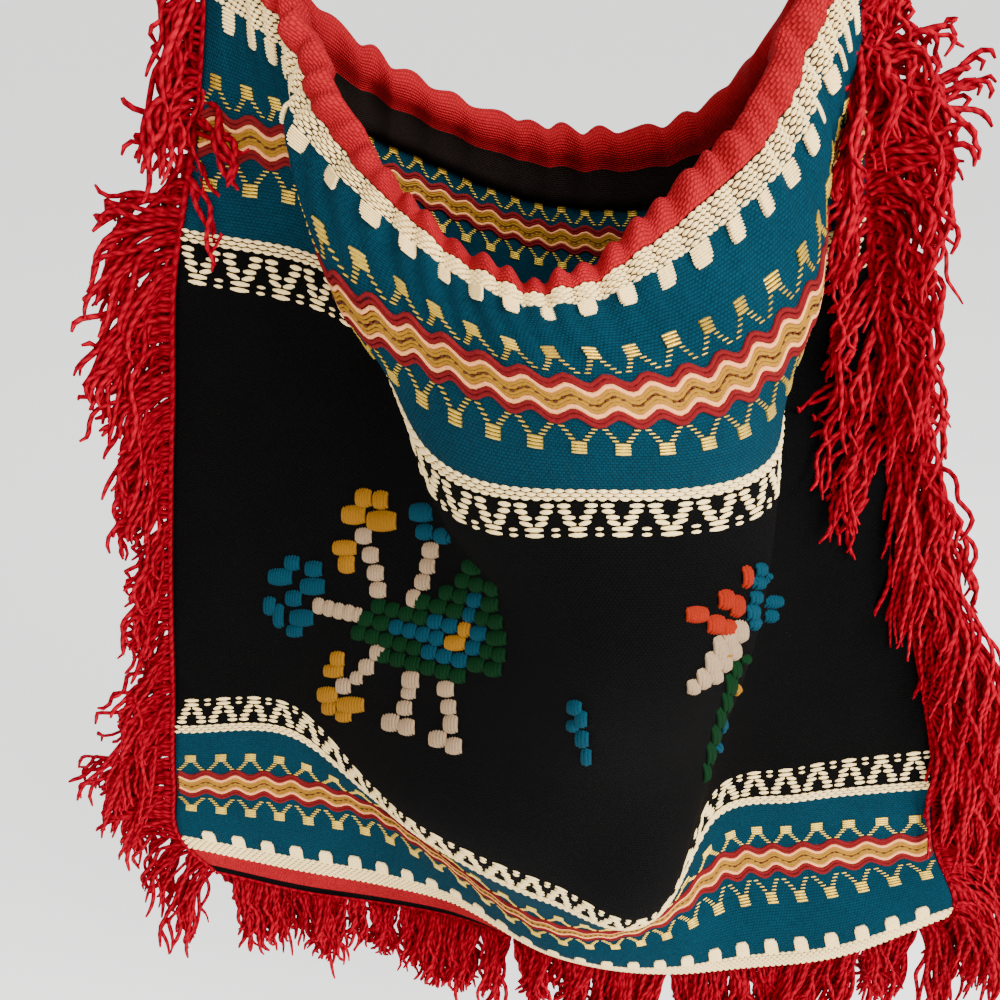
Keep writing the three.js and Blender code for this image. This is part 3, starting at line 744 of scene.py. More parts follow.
def weave_group():
    """Plain weave in cloth coordinates: its height, and a mask of the gaps between threads, where painted
    shade goes.
    """
    net, given, made = new_group(
        "Plain weave", "ShaderNodeTree",
        [("Across", "NodeSocketFloat", 0.0), ("Up", "NodeSocketFloat", 0.0),
         ("Thread Wide", "NodeSocketFloat", 1.1), ("Thread Tall", "NodeSocketFloat", 0.9)],
        [("Height", "NodeSocketFloat"), ("Gap", "NodeSocketFloat")])
    column = net.math("DIVIDE", given.outputs["Across"], given.outputs["Thread Wide"])
    row = net.math("DIVIDE", given.outputs["Up"], given.outputs["Thread Tall"])
    odd = net.math("MODULO", net.math("FLOOR", row), 2.0)
    shifted = net.math("ADD", column, net.math("MULTIPLY", odd, 0.5))
    wave_across = net.math("ABSOLUTE", net.math("SINE", net.math("MULTIPLY", shifted, math.pi)))
    wave_up = net.math("ABSOLUTE", net.math("SINE", net.math("MULTIPLY", row, math.pi)))
    height = net.math("MULTIPLY", net.math("POWER", wave_across, WEAVE["across_power"]),
                      net.math("POWER", wave_up, WEAVE["up_power"]))
    full = net.math("MULTIPLY", height, WEAVE["gap_gain"])
    gap = net.math("SUBTRACT", 1.0, net.math("SMOOTH_MIN", 1.0, full, WEAVE["gap_blend"]))
    net.put(made.inputs["Height"], height)
    net.put(made.inputs["Gap"], gap)
    return net.tree


def shader_groups():
    """The shared effects, built once."""
    if "Uneven wool" not in bpy.data.node_groups:
        wool_group()
        weave_group()
    return bpy.data.node_groups["Uneven wool"], bpy.data.node_groups["Plain weave"]


def new_material(name):
    """An empty material: its net and its shader."""
    material = bpy.data.materials.new(name)
    material.use_nodes = True
    net = NodeNet(material.node_tree)
    return material, net, material.node_tree.nodes["Principled BSDF"]


def rgba(colour):
    """A colour with full cover."""
    return (*colour, 1.0)


def set_values(shader, values):
    """Values of a surface that are the same all over."""
    for name, value in values.items():
        shader.inputs[name].default_value = value


def uneven_wool(net, colour, uneven, fibres):
    """A node of uneven wool over a colour."""
    wool, _ = shader_groups()
    return net.add("ShaderNodeGroup", {"Colour": colour, "Spread": uneven, "Fibres": fibres}, node_tree=wool)


def finish_surface(net, shader, colour, height, look):
    """Joins a colour and the relief of a height to a shader."""
    relief = {"Height": height, "Strength": look["relief"], "Distance": look["deep"]}
    rough = net.add("ShaderNodeBump", relief)
    net.put(shader.inputs["Base Color"], colour)
    net.put(shader.inputs["Normal"], rough.outputs[0])


def wool_material(name, colour, look=THREADS["wool"]):
    """Plain wool thread."""
    material, net, shader = new_material(name)
    set_values(shader, MATT)
    wool = uneven_wool(net, rgba(colour), look["uneven"], look["fibres"])
    finish_surface(net, shader, wool.outputs["Colour"], wool.outputs["Height"], look)
    return material


def yarn_material(name, colour, ply):
    """Twisted yarn, with painted shade in the groove that winds along it and towards its root, over a tone
    that differs from strand to strand.
    """
    look = THREADS["yarn"]
    material, net, shader = new_material(name)
    set_values(shader, MATT)
    wool = uneven_wool(net, rgba(colour), look["uneven"], look["fibres"])
    run, cosine, sine, tone = (net.add("ShaderNodeAttribute", attribute_name=key).outputs["Fac"]
                               for key in ("run", "cosine", "sine", "tone"))
    turn = net.math("MULTIPLY", run, 2 * math.pi / ply)
    stripe = net.math("ADD", net.math("MULTIPLY", cosine, net.math("COSINE", turn)),
                      net.math("MULTIPLY", sine, net.math("SINE", turn)))
    ridge = net.math("POWER", net.math("ADD", 0.5, net.math("MULTIPLY", stripe, 0.5)), TWIST["round"])
    # Painted shade: darker in the groove of the twist, and by the tone each point carries, which holds
    # painted shade towards the root
    groove_shade = net.math("ADD", TWIST["dark"], net.math("MULTIPLY", ridge, TWIST["light"]))
    shade = net.math("MULTIPLY", groove_shade, tone)
    painted_light_colour = net.add("ShaderNodeHueSaturation", {"Value": shade, "Color": wool.outputs["Colour"]})
    height = net.math("ADD", net.math("MULTIPLY", wool.outputs["Height"], TWIST["fuzz"]), ridge)
    finish_surface(net, shader, painted_light_colour.outputs[0], height, look)
    return material


def gold_material(name, colour):
    """Metallic thread."""
    look = THREADS["gold"]
    material, net, shader = new_material(name)
    shader.inputs["Metallic"].default_value = GOLD_SHINE["metallic"]
    wool = uneven_wool(net, rgba(colour), look["uneven"], look["fibres"])
    rougher = net.math("MULTIPLY", wool.outputs["Height"], GOLD_SHINE["rougher"])
    net.put(shader.inputs["Roughness"], net.math("ADD", GOLD_SHINE["smoothest"], rougher))
    finish_surface(net, shader, wool.outputs["Colour"], wool.outputs["Height"], look)
    return material


def band_ramp(net, place, colours):
    """Colour of the woven bands by height up the cloth."""
    ramp = net.add("ShaderNodeValToRGB", {"Fac": place})
    ramp.color_ramp.interpolation = "CONSTANT"
    stops = ramp.color_ramp.elements
    for i, band in enumerate(BANDS):
        stop = stops[i] if i < 1 else stops.new(band["from"] / CLOTH_HEIGHT)
        stop.position = band["from"] / CLOTH_HEIGHT
        stop.color = rgba(getattr(colours, band["wool"]))
    stops.remove(stops[-1])
    return ramp.outputs["Color"]


def woven_material(name, look, colour=None, colours=None, shade=1.0):
    """Woven wool with cloth coordinates in its UV map, in one colour or in the cloth's bands, with painted
    shade in the gaps between threads and painted light as the factor shade.
    """
    _, weave = shader_groups()
    material, net, shader = new_material(name)
    set_values(shader, MATT)
    cloth = net.add("ShaderNodeUVMap", uv_map="cloth")
    split = net.add("ShaderNodeSeparateXYZ", {0: cloth.outputs[0]})
    across = net.math("MULTIPLY", split.outputs[0], CLOTH_WIDTH)
    up = net.math("MULTIPLY", split.outputs[1], CLOTH_HEIGHT)
    sizes = {"Across": across, "Up": up, "Thread Wide": look["wide"], "Thread Tall": look["tall"]}
    threads = net.add("ShaderNodeGroup", sizes, node_tree=weave)
    ground = colour or band_ramp(net, split.outputs[1], colours)
    # Painted shade: the gaps between the threads are darkened towards the weave's dark value
    gaps = net.math("MULTIPLY", threads.outputs["Gap"], look["gap"])
    darker = net.mix("MULTIPLY", gaps, ground, rgba([look["dark"]] * 3))
    wool = uneven_wool(net, darker, look["uneven"], CLOTH_FIBRES)
    # Painted light: the colour is scaled by shade, which lightens the reverse of the panels
    painted_light_colour = net.mix("MULTIPLY", 1.0, wool.outputs["Colour"], rgba([shade] * 3))
    fuzz = net.math("MULTIPLY", wool.outputs["Height"], FUZZ_SHARE)
    finish_surface(net, shader, painted_light_colour, net.math("ADD", threads.outputs["Height"], fuzz), look)
    return material


def link_object(name, mesh):
    """A new object at the origin."""
    thing = bpy.data.objects.new(name, mesh)
    bpy.context.scene.collection.objects.link(thing)
    return thing


def plain_mesh(name, points, faces, places=None):
    """A mesh with smooth faces, and cloth coordinates where places are given for its points."""
    mesh = bpy.data.meshes.new(name)
    mesh.from_pydata(points.tolist(), [], faces.tolist() if isinstance(faces, np.ndarray) else faces)
    mesh.shade_smooth()
    if places is not None:
        corners = np.zeros(len(mesh.loops), np.int32)
        mesh.loops.foreach_get("vertex_index", corners)
        layer = mesh.uv_layers.new(name="cloth")
        layer.uv.foreach_set("vector", places[corners].astype(np.float32).ravel())
    return mesh


def finish_piece(thing, slot, node=None):
    """Puts a piece on the bag's body, and in the place of its solid."""
    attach(thing, "root")
    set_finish(thing, slot)
    if node:
        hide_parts(node)
    return thing


def grid_faces(rows, columns, start=0, turned=False):
    """Quads of a grid of points."""
    index = np.arange(rows * columns).reshape(rows, columns) + start
    corners = [index[:-1, :-1], index[:-1, 1:], index[1:, 1:], index[1:, :-1]]
    quads = np.stack(corners, axis=-1).reshape(-1, 4)
    return quads[:, ::-1] if turned else quads


def rim_faces(rows, columns, turned):
    """Quads that join the edges of two equal grids, the second one numbered after the first."""
    index = np.arange(rows * columns).reshape(rows, columns)
    loop = np.concatenate([index[0, :-1], index[:-1, -1], index[-1, :0:-1], index[:0:-1, 0]])
    ahead = np.roll(loop, -1)
    far = rows * columns
    quads = np.stack([loop, loop + far, ahead + far, ahead], axis=-1)
    return quads[:, ::-1] if turned else quads


def make_panel(name, face, side, sizes, colours):
    """A panel as a closed wall of cloth, with its pattern on the outside and its reverse inside, whose
    colours are lightened by painted light.
    """
    across = np.linspace(0, CLOTH_WIDTH, REPEATS * sizes.panel_columns + 1)
    up = np.linspace(0, CLOTH_HEIGHT - HEM_TALL - 2 * SEAM_GAP, sizes.panel_rows + 1)
    across, up = np.meshgrid(across, up)
    rows, columns = across.shape
    outer = face.place(across, up, CLOTH_OUT).reshape(-1, 3)
    inner = face.place(across, up, SEAM_GAP).reshape(-1, 3)
    turned = side < 0
    outside = grid_faces(rows, columns, 0, turned)
    inside = grid_faces(rows, columns, rows * columns, not turned)
    edges = rim_faces(rows, columns, turned)
    places = np.stack([across.ravel() / CLOTH_WIDTH, up.ravel() / CLOTH_HEIGHT], axis=-1)
    mesh = plain_mesh(name, np.concatenate([outer, inner]), np.concatenate([outside, inside, edges]),
                      np.concatenate([places, places]))
    # The reverse is lightened by painted light through its shade factor
    for part, shade in (("_face", 1.0), ("_reverse", REVERSE_PAINTED_LIGHT)):
        mesh.materials.append(woven_material(name + part, WEAVES["cloth"], colours=colours, shade=shade))
    slots = np.zeros(len(mesh.polygons), np.int32)
    slots[len(outside):len(outside) + len(inside)] = 1
    mesh.polygons.foreach_set("material_index", slots)
    return link_object(name, mesh)


def make_hem(name, face, side, colours):
    """The gathered roll at the rim with the black facing turned in behind it."""
    across = np.linspace(HEM_START, CLOTH_WIDTH - HEM_START, REPEATS * HEM_COLUMNS + 1)
    repeats = across / REPEAT
    opened = from_seams(repeats, HEM_CLOSING)
    pleats = pleat_wave(repeats, face.pleats)
    swell = HEM_SWELL * (gather_wave(repeats) + pleats)
    drop = HEM_DROP * (1 - pleats) / 2 * opened
    foot = CLOTH_HEIGHT - HEM_TALL
    back = -SEAM_GAP - FACING_GAP - FACING_WALL * opened
    level = 0 * across
    shape = [(level - SEAM_GAP, level + up) for up in (FACING_FOOT, foot - FACING_TUCK, foot)]
    for row in ROLL_OUTSIDE:
        shape.append((row["out"] * (1 + row["swell"] * swell), foot + row["share"] * (HEM_TALL - drop)))
    for row in ROLL_INSIDE:
        shape.append((back - opened * row["out"] * (1 + row["swell"] * swell),
                      foot + row["share"] * (HEM_TALL - drop)))
    shape += [(back, level + up) for up in (foot - HEM_TURN, FACING_FOOT)]
    last = len(HEM_STEPS)
    places = np.round(np.concatenate([k + np.arange(n) / n for k, n in enumerate(HEM_STEPS)] + [[last]]), 2)
    table = np.array([np.stack(row, axis=-1) for row in shape])
    ring = curve_at(np.arange(last + 1), table, places)
    points = face.place(across[None, :], ring[..., 1], ring[..., 0])
    rows, columns = points.shape[:2]
    index = np.arange(rows * columns).reshape(rows, columns)
    ahead = np.roll(index, -1, axis=0)
    quads = np.stack([index[:, :-1], index[:, 1:], ahead[:, 1:], ahead[:, :-1]], axis=-1)
    in_facing = (places >= last - 1) | (places < 2)
    slots = np.repeat(np.where(in_facing, 1, 0), columns - 1)
    faces = quads.reshape(-1, 4)
    if side > 0:
        faces = faces[:, ::-1]
    caps = [index[:, 0].tolist(), index[::-1, -1].tolist()]
    if side < 0:
        caps = [cap[::-1] for cap in caps]
    around = np.cumsum(np.r_[0, np.linalg.norm(np.diff(ring.mean(axis=1), axis=0), axis=1)])
    uv = np.stack(np.broadcast_arrays(across / CLOTH_WIDTH, around[:, None] / CLOTH_HEIGHT), axis=-1)
    mesh = plain_mesh(name, points.reshape(-1, 3), faces.tolist() + caps, uv.reshape(-1, 2))
    mesh.materials.append(woven_material(name + "_red", WEAVES["hem"], rgba(colours.hem_red)))
    # Painted light: the facing's black wool is given the lighter facing colour
    mesh.materials.append(woven_material(name + "_facing", WEAVES["facing"], rgba(colours.facing)))
    mesh.polygons.foreach_set("material_index", np.r_[slots, 0, 0].astype(np.int32))
    return link_object(name, mesh)


def end_tree(net, given, made, last):
    """Makes what a tree has made real, and gives it its wool."""
    real = net.add("GeometryNodeRealizeInstances", {"Geometry": last.outputs[0]})
    coloured = net.add("GeometryNodeSetMaterial",
                       {"Geometry": real.outputs[0], "Material": given.outputs["Wool"]})
    net.put(made.inputs[0], coloured.outputs[0])


def stitch_tree():
    """A plump stitch on every point, turned and sized by the values that the point carries."""
    net, given, made = new_group(
        "Stitches", "GeometryNodeTree",
        [("Points", "NodeSocketGeometry", None), ("Steps", "NodeSocketInt", 4),
         ("Sides", "NodeSocketInt", 5), ("End Share", "NodeSocketFloat", 0.55),
         ("Wool", "NodeSocketMaterial", None)],
        [("Stitches", "NodeSocketGeometry")])
    line = net.add("GeometryNodeCurvePrimitiveLine", {"Start": (-0.5, 0, 0), "End": (0.5, 0, 0)})
    steps = net.add("GeometryNodeResampleCurve",
                    {"Curve": line.outputs[0], "Count": given.outputs["Steps"]})
    factor = net.add("GeometryNodeSplineParameter").outputs["Factor"]
    swell = net.math("SINE", net.math("MULTIPLY", factor, math.pi))
    ring = net.add("GeometryNodeCurvePrimitiveCircle",
                   {"Resolution": given.outputs["Sides"], "Radius": 0.5})
    full = net.math("MULTIPLY", swell, net.math("SUBTRACT", 1.0, given.outputs["End Share"]))
    girth = net.math("ADD", given.outputs["End Share"], full)
    body = net.add("GeometryNodeCurveToMesh",
                   {"Curve": steps.outputs[0], "Profile Curve": ring.outputs[0], "Scale": girth,
                    "Fill Caps": True})
    rounded = net.add("GeometryNodeSetShadeSmooth", {"Geometry": body.outputs[0]})
    along, out, size = (
        net.add("GeometryNodeInputNamedAttribute", {"Name": name}, data_type="FLOAT_VECTOR").outputs[0]
        for name in ("along", "out", "size"))
    turn = net.add("FunctionNodeAxesToRotation", {"Primary Axis": along, "Secondary Axis": out},
                   primary_axis="X", secondary_axis="Z")
    placed = net.add("GeometryNodeInstanceOnPoints",
                     {"Points": given.outputs["Points"], "Instance": rounded.outputs[0],
                      "Rotation": turn.outputs[0], "Scale": size})
    end_tree(net, given, made, placed)
    return net.tree


def yarn_tree():
    """Yarns along the edges of a mesh. Each keeps its run, and the cosine and sine around it."""
    net, given, made = new_group(
        "Yarns", "GeometryNodeTree",
        [("Ways", "NodeSocketGeometry", None), ("Thickness", "NodeSocketFloat", 0.002),
         ("Flatness", "NodeSocketFloat", 1.0), ("Step", "NodeSocketFloat", 0.001),
         ("Sides", "NodeSocketInt", 6), ("Wool", "NodeSocketMaterial", None)],
        [("Yarns", "NodeSocketGeometry")])

    def kept(geometry, name, value):
        """Stores a value on every point."""
        node = net.add("GeometryNodeStoreNamedAttribute",
                       {"Geometry": geometry, "Name": name, "Value": value},
                       data_type="FLOAT", domain="POINT")
        return node.outputs[0]

    ways = net.add("GeometryNodeMeshToCurve", {"Mesh": given.outputs["Ways"]})
    smooth = net.add("GeometryNodeCurveSplineType", {"Curve": ways.outputs[0]}, spline_type="CATMULL_ROM")
    fine = net.add("GeometryNodeResampleCurve",
                   {"Curve": smooth.outputs[0], "Length": given.outputs["Step"]}, mode="LENGTH")
    spline = net.add("GeometryNodeSplineParameter")
    line = kept(fine.outputs[0], "run", spline.outputs["Length"])
    ring = net.add("GeometryNodeCurvePrimitiveCircle",
                   {"Resolution": given.outputs["Sides"], "Radius": 0.5})
    angle = net.math("MULTIPLY", spline.outputs["Factor"], 2 * math.pi)
    marked = kept(ring.outputs[0], "cosine", net.math("COSINE", angle))
    marked = kept(marked, "sine", net.math("SINE", angle))
    thin = net.math("MULTIPLY", given.outputs["Thickness"], given.outputs["Flatness"])
    size = net.add("ShaderNodeCombineXYZ", {"X": given.outputs["Thickness"], "Y": thin, "Z": 1.0})
    section = net.add("GeometryNodeTransform", {"Geometry": marked, "Scale": size.outputs[0]})
    girth = net.add("GeometryNodeInputNamedAttribute", {"Name": "girth"}, data_type="FLOAT").outputs[0]
    body = net.add("GeometryNodeCurveToMesh",
                   {"Curve": line, "Profile Curve": section.outputs[0], "Scale": girth, "Fill Caps": True})
    end_tree(net, given, made, net.add("GeometryNodeSetShadeSmooth", {"Geometry": body.outputs[0]}))
    return net.tree


def geometry_tree(name):
    """One of the two node trees, built once."""
    if name not in bpy.data.node_groups:
        {"Stitches": stitch_tree, "Yarns": yarn_tree}[name]()
    return bpy.data.node_groups[name]


def grown(name, mesh, tree, values):
    """What a node tree makes of a mesh, as a plain object."""
    source = link_object(name + "_source", mesh)
    modifier = source.modifiers.new("Nodes", "NODES")
    modifier.node_group = tree
    sockets = {item.name: item.identifier for item in tree.interface.items_tree if item.in_out == "INPUT"}
    for key, value in values.items():
        modifier[sockets[key]] = value
    seen = source.evaluated_get(bpy.context.evaluated_depsgraph_get())
    result = bpy.data.meshes.new_from_object(seen)
    source.modifiers.remove(modifier)
    bpy.data.objects.remove(source)
    if not result.polygons:
        raise RuntimeError(f"{name}: the node tree made nothing")
    result.name = name
    return link_object(name, result)


def add_values(mesh, name, kind, values):
    """Keeps a value for each point of a mesh."""
    field = "vector" if kind == "FLOAT_VECTOR" else "value"
    mesh.attributes.new(name, kind, "POINT").data.foreach_set(field, np.asarray(values, np.float32).ravel())


def stitch_rows(face, out, across, up, wide, tall, thick, slant=0.0):
    """Stitches on the cloth: where they sit, which way they run and face, and how large they are."""
    across, up, wide, tall, thick, slant = np.broadcast_arrays(
        *(np.asarray(v, float) for v in (across, up, wide, tall, thick, slant)))
    turn = np.radians(slant)
    half_across = 0.5 * np.cos(turn)
    half_up = 0.5 * np.sin(turn)
    ends = [face.place(across + way * half_across, up + way * half_up, out) for way in (-1, 1)]
    wide = wide * face.stretch(across, up, 1, 0)
    tall = tall * face.stretch(across, up, 0, 1)
    return {
        "place": face.place(across, up, out).reshape(-1, 3),
        "along": unit(ends[1] - ends[0]).reshape(-1, 3),
        "out": (face.outward(across, up) * np.sign(out)).reshape(-1, 3),
        "size": (np.stack([wide, tall, thick], axis=-1) * MM).reshape(-1, 3),
    }


def make_stitches(name, rows, material, sides=5, steps=4, ends=0.55):
    """One object of all the given stitches."""
    table = {key: np.concatenate([row[key] for row in rows]) for key in rows[0]}
    mesh = bpy.data.meshes.new(name + "_points")
    mesh.from_pydata(table["place"].tolist(), [], [])
    for key in ("along", "out", "size"):
        add_values(mesh, key, "FLOAT_VECTOR", table[key])
    return grown(name, mesh, geometry_tree("Stitches"),
                 {"Sides": sides, "Steps": steps, "End Share": ends, "Wool": material})


def make_yarns(name, ways, material, thickness, step, sides, flatness=1.0):
    """One object of yarns along open ways, each with its points, its girths and its tones, which on the
    fringes hold painted shade.
    """
    points = np.concatenate([way["points"] for way in ways])
    starts = np.cumsum([0] + [len(way["points"]) for way in ways])
    edges = np.concatenate([np.stack([np.arange(a, b - 1), np.arange(a + 1, b)], axis=-1)
                            for a, b in zip(starts[:-1], starts[1:])])
    mesh = bpy.data.meshes.new(name + "_ways")
    mesh.from_pydata(points.tolist(), edges.tolist(), [])
    for key in ("girth", "tone"):
        add_values(mesh, key, "FLOAT", np.concatenate([way[key] for way in ways]))
    return grown(name, mesh, geometry_tree("Yarns"),
                 {"Thickness": thickness, "Step": step, "Sides": sides, "Flatness": flatness,
                  "Wool": material})


def repeat_columns(shift):
    """Places across the cloth, one for each repeat."""
    return (np.arange(REPEATS) + shift) * REPEAT


def bead_rows(face, border):
    """Staggered beads of the white band and of the white line, with small gaps at their ends."""
    rows = []
    for start, beads in ((border["white"], WHITE_BEADS), (border["line"], LINE_BEADS)):
        wide = REPEAT / beads["in_repeat"]
        for k in range(beads["rows"]):
            across = (np.arange(REPEATS * beads["in_repeat"]) + 0.25 + 0.5 * (k % 2)) * wide
            up = start + border["way"] * k * beads["tall"]
            rows.append(stitch_rows(face, CLOTH_OUT, across, up, wide * BEAD["wide_share"],
                                    beads["tall"] * BEAD["tall_share"], BEAD["thick"]))
    return rows


def crenel_rows(face, border):
    """Stacked threads of the white blocks, shorter where a block is rounded off."""
    across = repeat_columns(0)[1:]
    rows = []
    for k in range(CRENEL["threads"]):
        left = CRENEL["threads"] - 1 - k
        wide = CRENEL["wide"] * (CRENEL_ENDS[left] if left < len(CRENEL_ENDS) else 1)
        up = border["crenel"] + border["way"] * k * CRENEL["pitch"]
        rows.append(stitch_rows(face, CLOTH_OUT + CRENEL["raised"], across, up, wide,
                                CRENEL["pitch"] * CRENEL["tall_share"], CRENEL["thick"]))
    return rows


def tower_rows(face, border):
    """Stitches of the black and white band."""
    rows = []
    for stitch in TOWER_CHART:
        for at in stitch["at"]:
            across = np.clip(repeat_columns(0.5) + at * HALF_COLUMN, 1, CLOTH_WIDTH - 1)
            up = border["tower"] - border["way"] * stitch["row"] * TOWER_PITCH
            slant = -border["way"] * stitch["slant"] * np.sign(at)
            rows.append(stitch_rows(face, CLOTH_OUT, across, up, stitch["wide"], stitch["tall"],
                                    TOWER_THICK, slant))
    return rows


def gold_stitches(face, out, border):
    """Metallic floats on both sides of the wave: two legs that run together into a square."""
    rows = []
    columns = repeat_columns(0.5)
    for way in (-1, 1):
        for k, off in enumerate(GOLD_LEG["off"]):
            up = border["wave"] + way * (GOLD_START + k * GOLD_LEG["pitch"])
            for leg in (-off, off):
                rows.append(stitch_rows(face, out, columns + leg, up, GOLD_LEG["wide"], GOLD_LEG["tall"],
                                        GOLD_LEG["thick"]))
        start = GOLD_START + len(GOLD_LEG["off"]) * GOLD_LEG["pitch"]
        for k in range(GOLD_SQUARE["count"]):
            up = border["wave"] + way * (start + k * GOLD_SQUARE["pitch"])
            rows.append(stitch_rows(face, out, columns, up, GOLD_SQUARE["wide"], GOLD_SQUARE["tall"],
                                    GOLD_SQUARE["thick"]))
    return rows


def wave_height(across, border):
    """Middle of the wave, which dips towards the edge of the cloth in the middle of each repeat."""
    return border["wave"] + border["way"] * WAVE_RISE * np.cos(2 * math.pi * across / REPEAT)


def wave_ways(face, out, border, wool):
    """Ways of the cords of one wool along the wave."""
    across = np.linspace(1, CLOTH_WIDTH - 1, REPEATS * WAVE_POINTS + 1)
    ways = []
    for cord in WAVE_CORDS:
        if cord["wool"] != wool:
            continue
        for off in cord["from_middle"]:
            for sign in (-1, 1):
                points = face.place(across, wave_height(across, border) + sign * off, out)
                same = np.full(len(points), cord["thick"])
                ways.append({"points": points, "girth": same, "tone": same * 0 + 1})
    return ways


def wave_ties(face, out, border):
    """Small dark stitches along the middle of the wave."""
    count = WAVE_TIES["in_repeat"]
    across = (np.arange(REPEATS * count) + 0.5) * REPEAT / count
    middle = wave_height(across, border)
    return [stitch_rows(face, out, across, middle, *(WAVE_TIES[key] for key in ("wide", "tall", "thick")))]


def camera_axes():
    """Directions right, up and ahead of the photograph's camera."""
    down = math.radians(CAMERA_DOWN)
    ahead = np.array([0, math.cos(down), -math.sin(down)])
    upward = np.array([0, math.sin(down), math.cos(down)])
    return np.array([1.0, 0, 0]), upward, ahead


def picture_points(points):
    """Where points of the bag show in the picture, and how far away they are."""
    right, upward, ahead = camera_axes()
    seen = points - np.array(CAMERA_PLACE)
    depth = seen @ ahead
    x = PICTURE / 2 + FOCAL_PIXELS * (seen @ right) / depth
    y = PICTURE / 2 - FOCAL_PIXELS * (seen @ upward) / depth
    return np.stack([x, y, depth], axis=-1)


class PictureFinder:
    """Finds the place on the front cloth that shows at a point of the picture."""

    def __init__(self, face):
        self.face = face
        sides = (np.arange(0, size, FINDER["net"]) for size in (CLOTH_WIDTH, CLOTH_HEIGHT))
        across, up = np.meshgrid(*sides)
        points = face.place(across, up, CLOTH_OUT)
        facing = np.sum(face.outward(across, up) * (np.array(CAMERA_PLACE) - points), axis=-1) > 0
        self.across = across[facing]
        self.up = up[facing]
        self.seen = picture_points(points[facing])

    def nearest(self, x, y):
        """First guess: the nearest visible point of a coarse net."""
        away = np.hypot(self.seen[:, 0] - x, self.seen[:, 1] - y)
        close = np.flatnonzero(away < max(FINDER["near"], away.min() + FINDER["slack"]))
        front = self.seen[close, 2].min() + FINDER["deep"]
        close = close[self.seen[close, 2] < front]
        best = close[np.argmin(away[close])]
        return self.across[best], self.up[best]

    def find(self, x, y, start=None):
        """Places across and up the cloth for arrays of picture points, looked for from a start."""
        goal = np.stack([x, y], axis=-1)
        at = np.array([self.nearest(*point) for point in goal]) if start is None else start
        step = FINDER["step"]
        for _ in range(FINDER["rounds"]):
            now = picture_points(self.face.place(at[:, 0], at[:, 1], CLOTH_OUT))[:, :2]
            aside = picture_points(self.face.place(at[:, 0] + step, at[:, 1], CLOTH_OUT))[:, :2]
            above = picture_points(self.face.place(at[:, 0], at[:, 1] + step, CLOTH_OUT))[:, :2]
            slopes = np.stack([aside - now, above - now], axis=-1) / step
            steady = slopes + FINDER["steady"] * np.eye(2)
            move = np.linalg.solve(steady, (goal - now)[..., None])[..., 0]
            at = at + np.clip(move, -FINDER["longest"], FINDER["longest"])
        return at


def block_threads(blocks):
    """Upright threads of satin blocks in the picture: x, lower and upper end, rise, middle of the block."""
    ends = []
    for row in blocks:
        block = dict(zip(BLOCK_COLUMNS, row))
        x, y = block["x"], block["y"]
        count = max(2, round(block["wide"] / THREAD_PIXELS))
        for k in range(count):
            off = (k + 0.5) / count - 0.5
            aside = off * block["wide"] * BLOCK_SHARE
            half = block["tall"] * (BLOCK_SHARE * (1 - BLOCK_ROUND * abs(off) ** 2) / 2)
            ends.append((x + aside, y + half, y - half, 1 - BLOCK_FALL * off**2, x, y))
    return ends


def body_blocks(wool):
    """Blocks of the bird's body in one wool, row by row."""
    blocks = []
    for row in BODY_ROWS:
        for name, start, stop in row["runs"]:
            if name != wool:
                continue
            count = max(1, round((stop - start) / BODY_BLOCK))
            wide = (stop - start) / count
            for k in range(count):
                x = start + (k + 0.5) * wide
                y = BODY_LEVEL + BODY_SLOPE * (x - BODY_X) + row["row"] * BODY_ROW
                blocks.append((x, y, wide, BODY_ROW))
    return blocks


def by_block(found, middle, pixels):
    """Places on the cloth, drawn back where a fold throws them far from the middle of their block."""
    away = found - middle
    far = np.linalg.norm(away, axis=1)
    limit = np.minimum(1, PIXEL_REACH * pixels / np.maximum(far, 1e-9))
    return middle + away * limit[:, None]


def thread_ways(finder, ends):
    """Ways of threads that rise out of the cloth and go back into it."""
    ends = np.array(ends)
    x, low_y, high_y, rises, middle_x, middle_y = ends.T
    middle = finder.find(middle_x, middle_y)
    low, high = (by_block(finder.find(x, y, middle), middle, np.hypot(x - middle_x, y - middle_y))
                 for y in (low_y, high_y))
    share = np.linspace(0, 1, THREAD_POINTS)
    rise = np.sin(math.pi * share) ** THREAD_ROUND
    ways = []
    for a, b, swell in zip(low, high, rises):
        across = a[0] + (b[0] - a[0]) * share
        up = a[1] + (b[1] - a[1]) * share
        points = FRONT.place(across, up, CLOTH_OUT - THREAD_SUNK + THREAD_RISE * swell * rise)
        girth = THREAD_END + (1 - THREAD_END) * rise
        ways.append({"points": points, "girth": girth, "tone": 0 * share + 1})
    return ways


def seam_line(which):
    """A seam that a fringe hangs on: its points in metres, and the ways out of the cloth there."""
    count = SEAM_POINTS
    share = np.linspace(0, 1, count)
    if which == "bottom":
        across = share * CLOTH_WIDTH
        up = np.zeros(count)
        steps = [face.place(across, up, 0) - face.place(across, up + SEAM_STEP, 0) for face in (FRONT, BACK)]
    else:
        sign = -1 if which == "left" else 1
        up = share * FRINGE_TOP
        across = np.full(count, 0.0 if which == "left" else CLOTH_WIDTH)
        steps = [face.place(across, up, 0) - face.place(across - sign * SEAM_STEP, up, 0)
                 for face in (FRONT, BACK)]
    out = unit(unit(steps[0]) + unit(steps[1]))
    if which == "bottom":
        turn = np.clip(1 - np.minimum(share, 1 - share) / BOTTOM_FAN["reach"], 0, 1) * np.sign(share - 0.5)
        out = unit(out + turn[:, None] * np.array([BOTTOM_FAN["aside"], 0, 0]))
    else:
        turn = np.clip(1 - share / CORNER_FAN["reach"], 0, 1)
        out = unit(out + turn[:, None] * np.array([0, 0, -CORNER_FAN["down"]]))
    return FRONT.place(across, up, 0) + out * CORD_OFF * MM, out


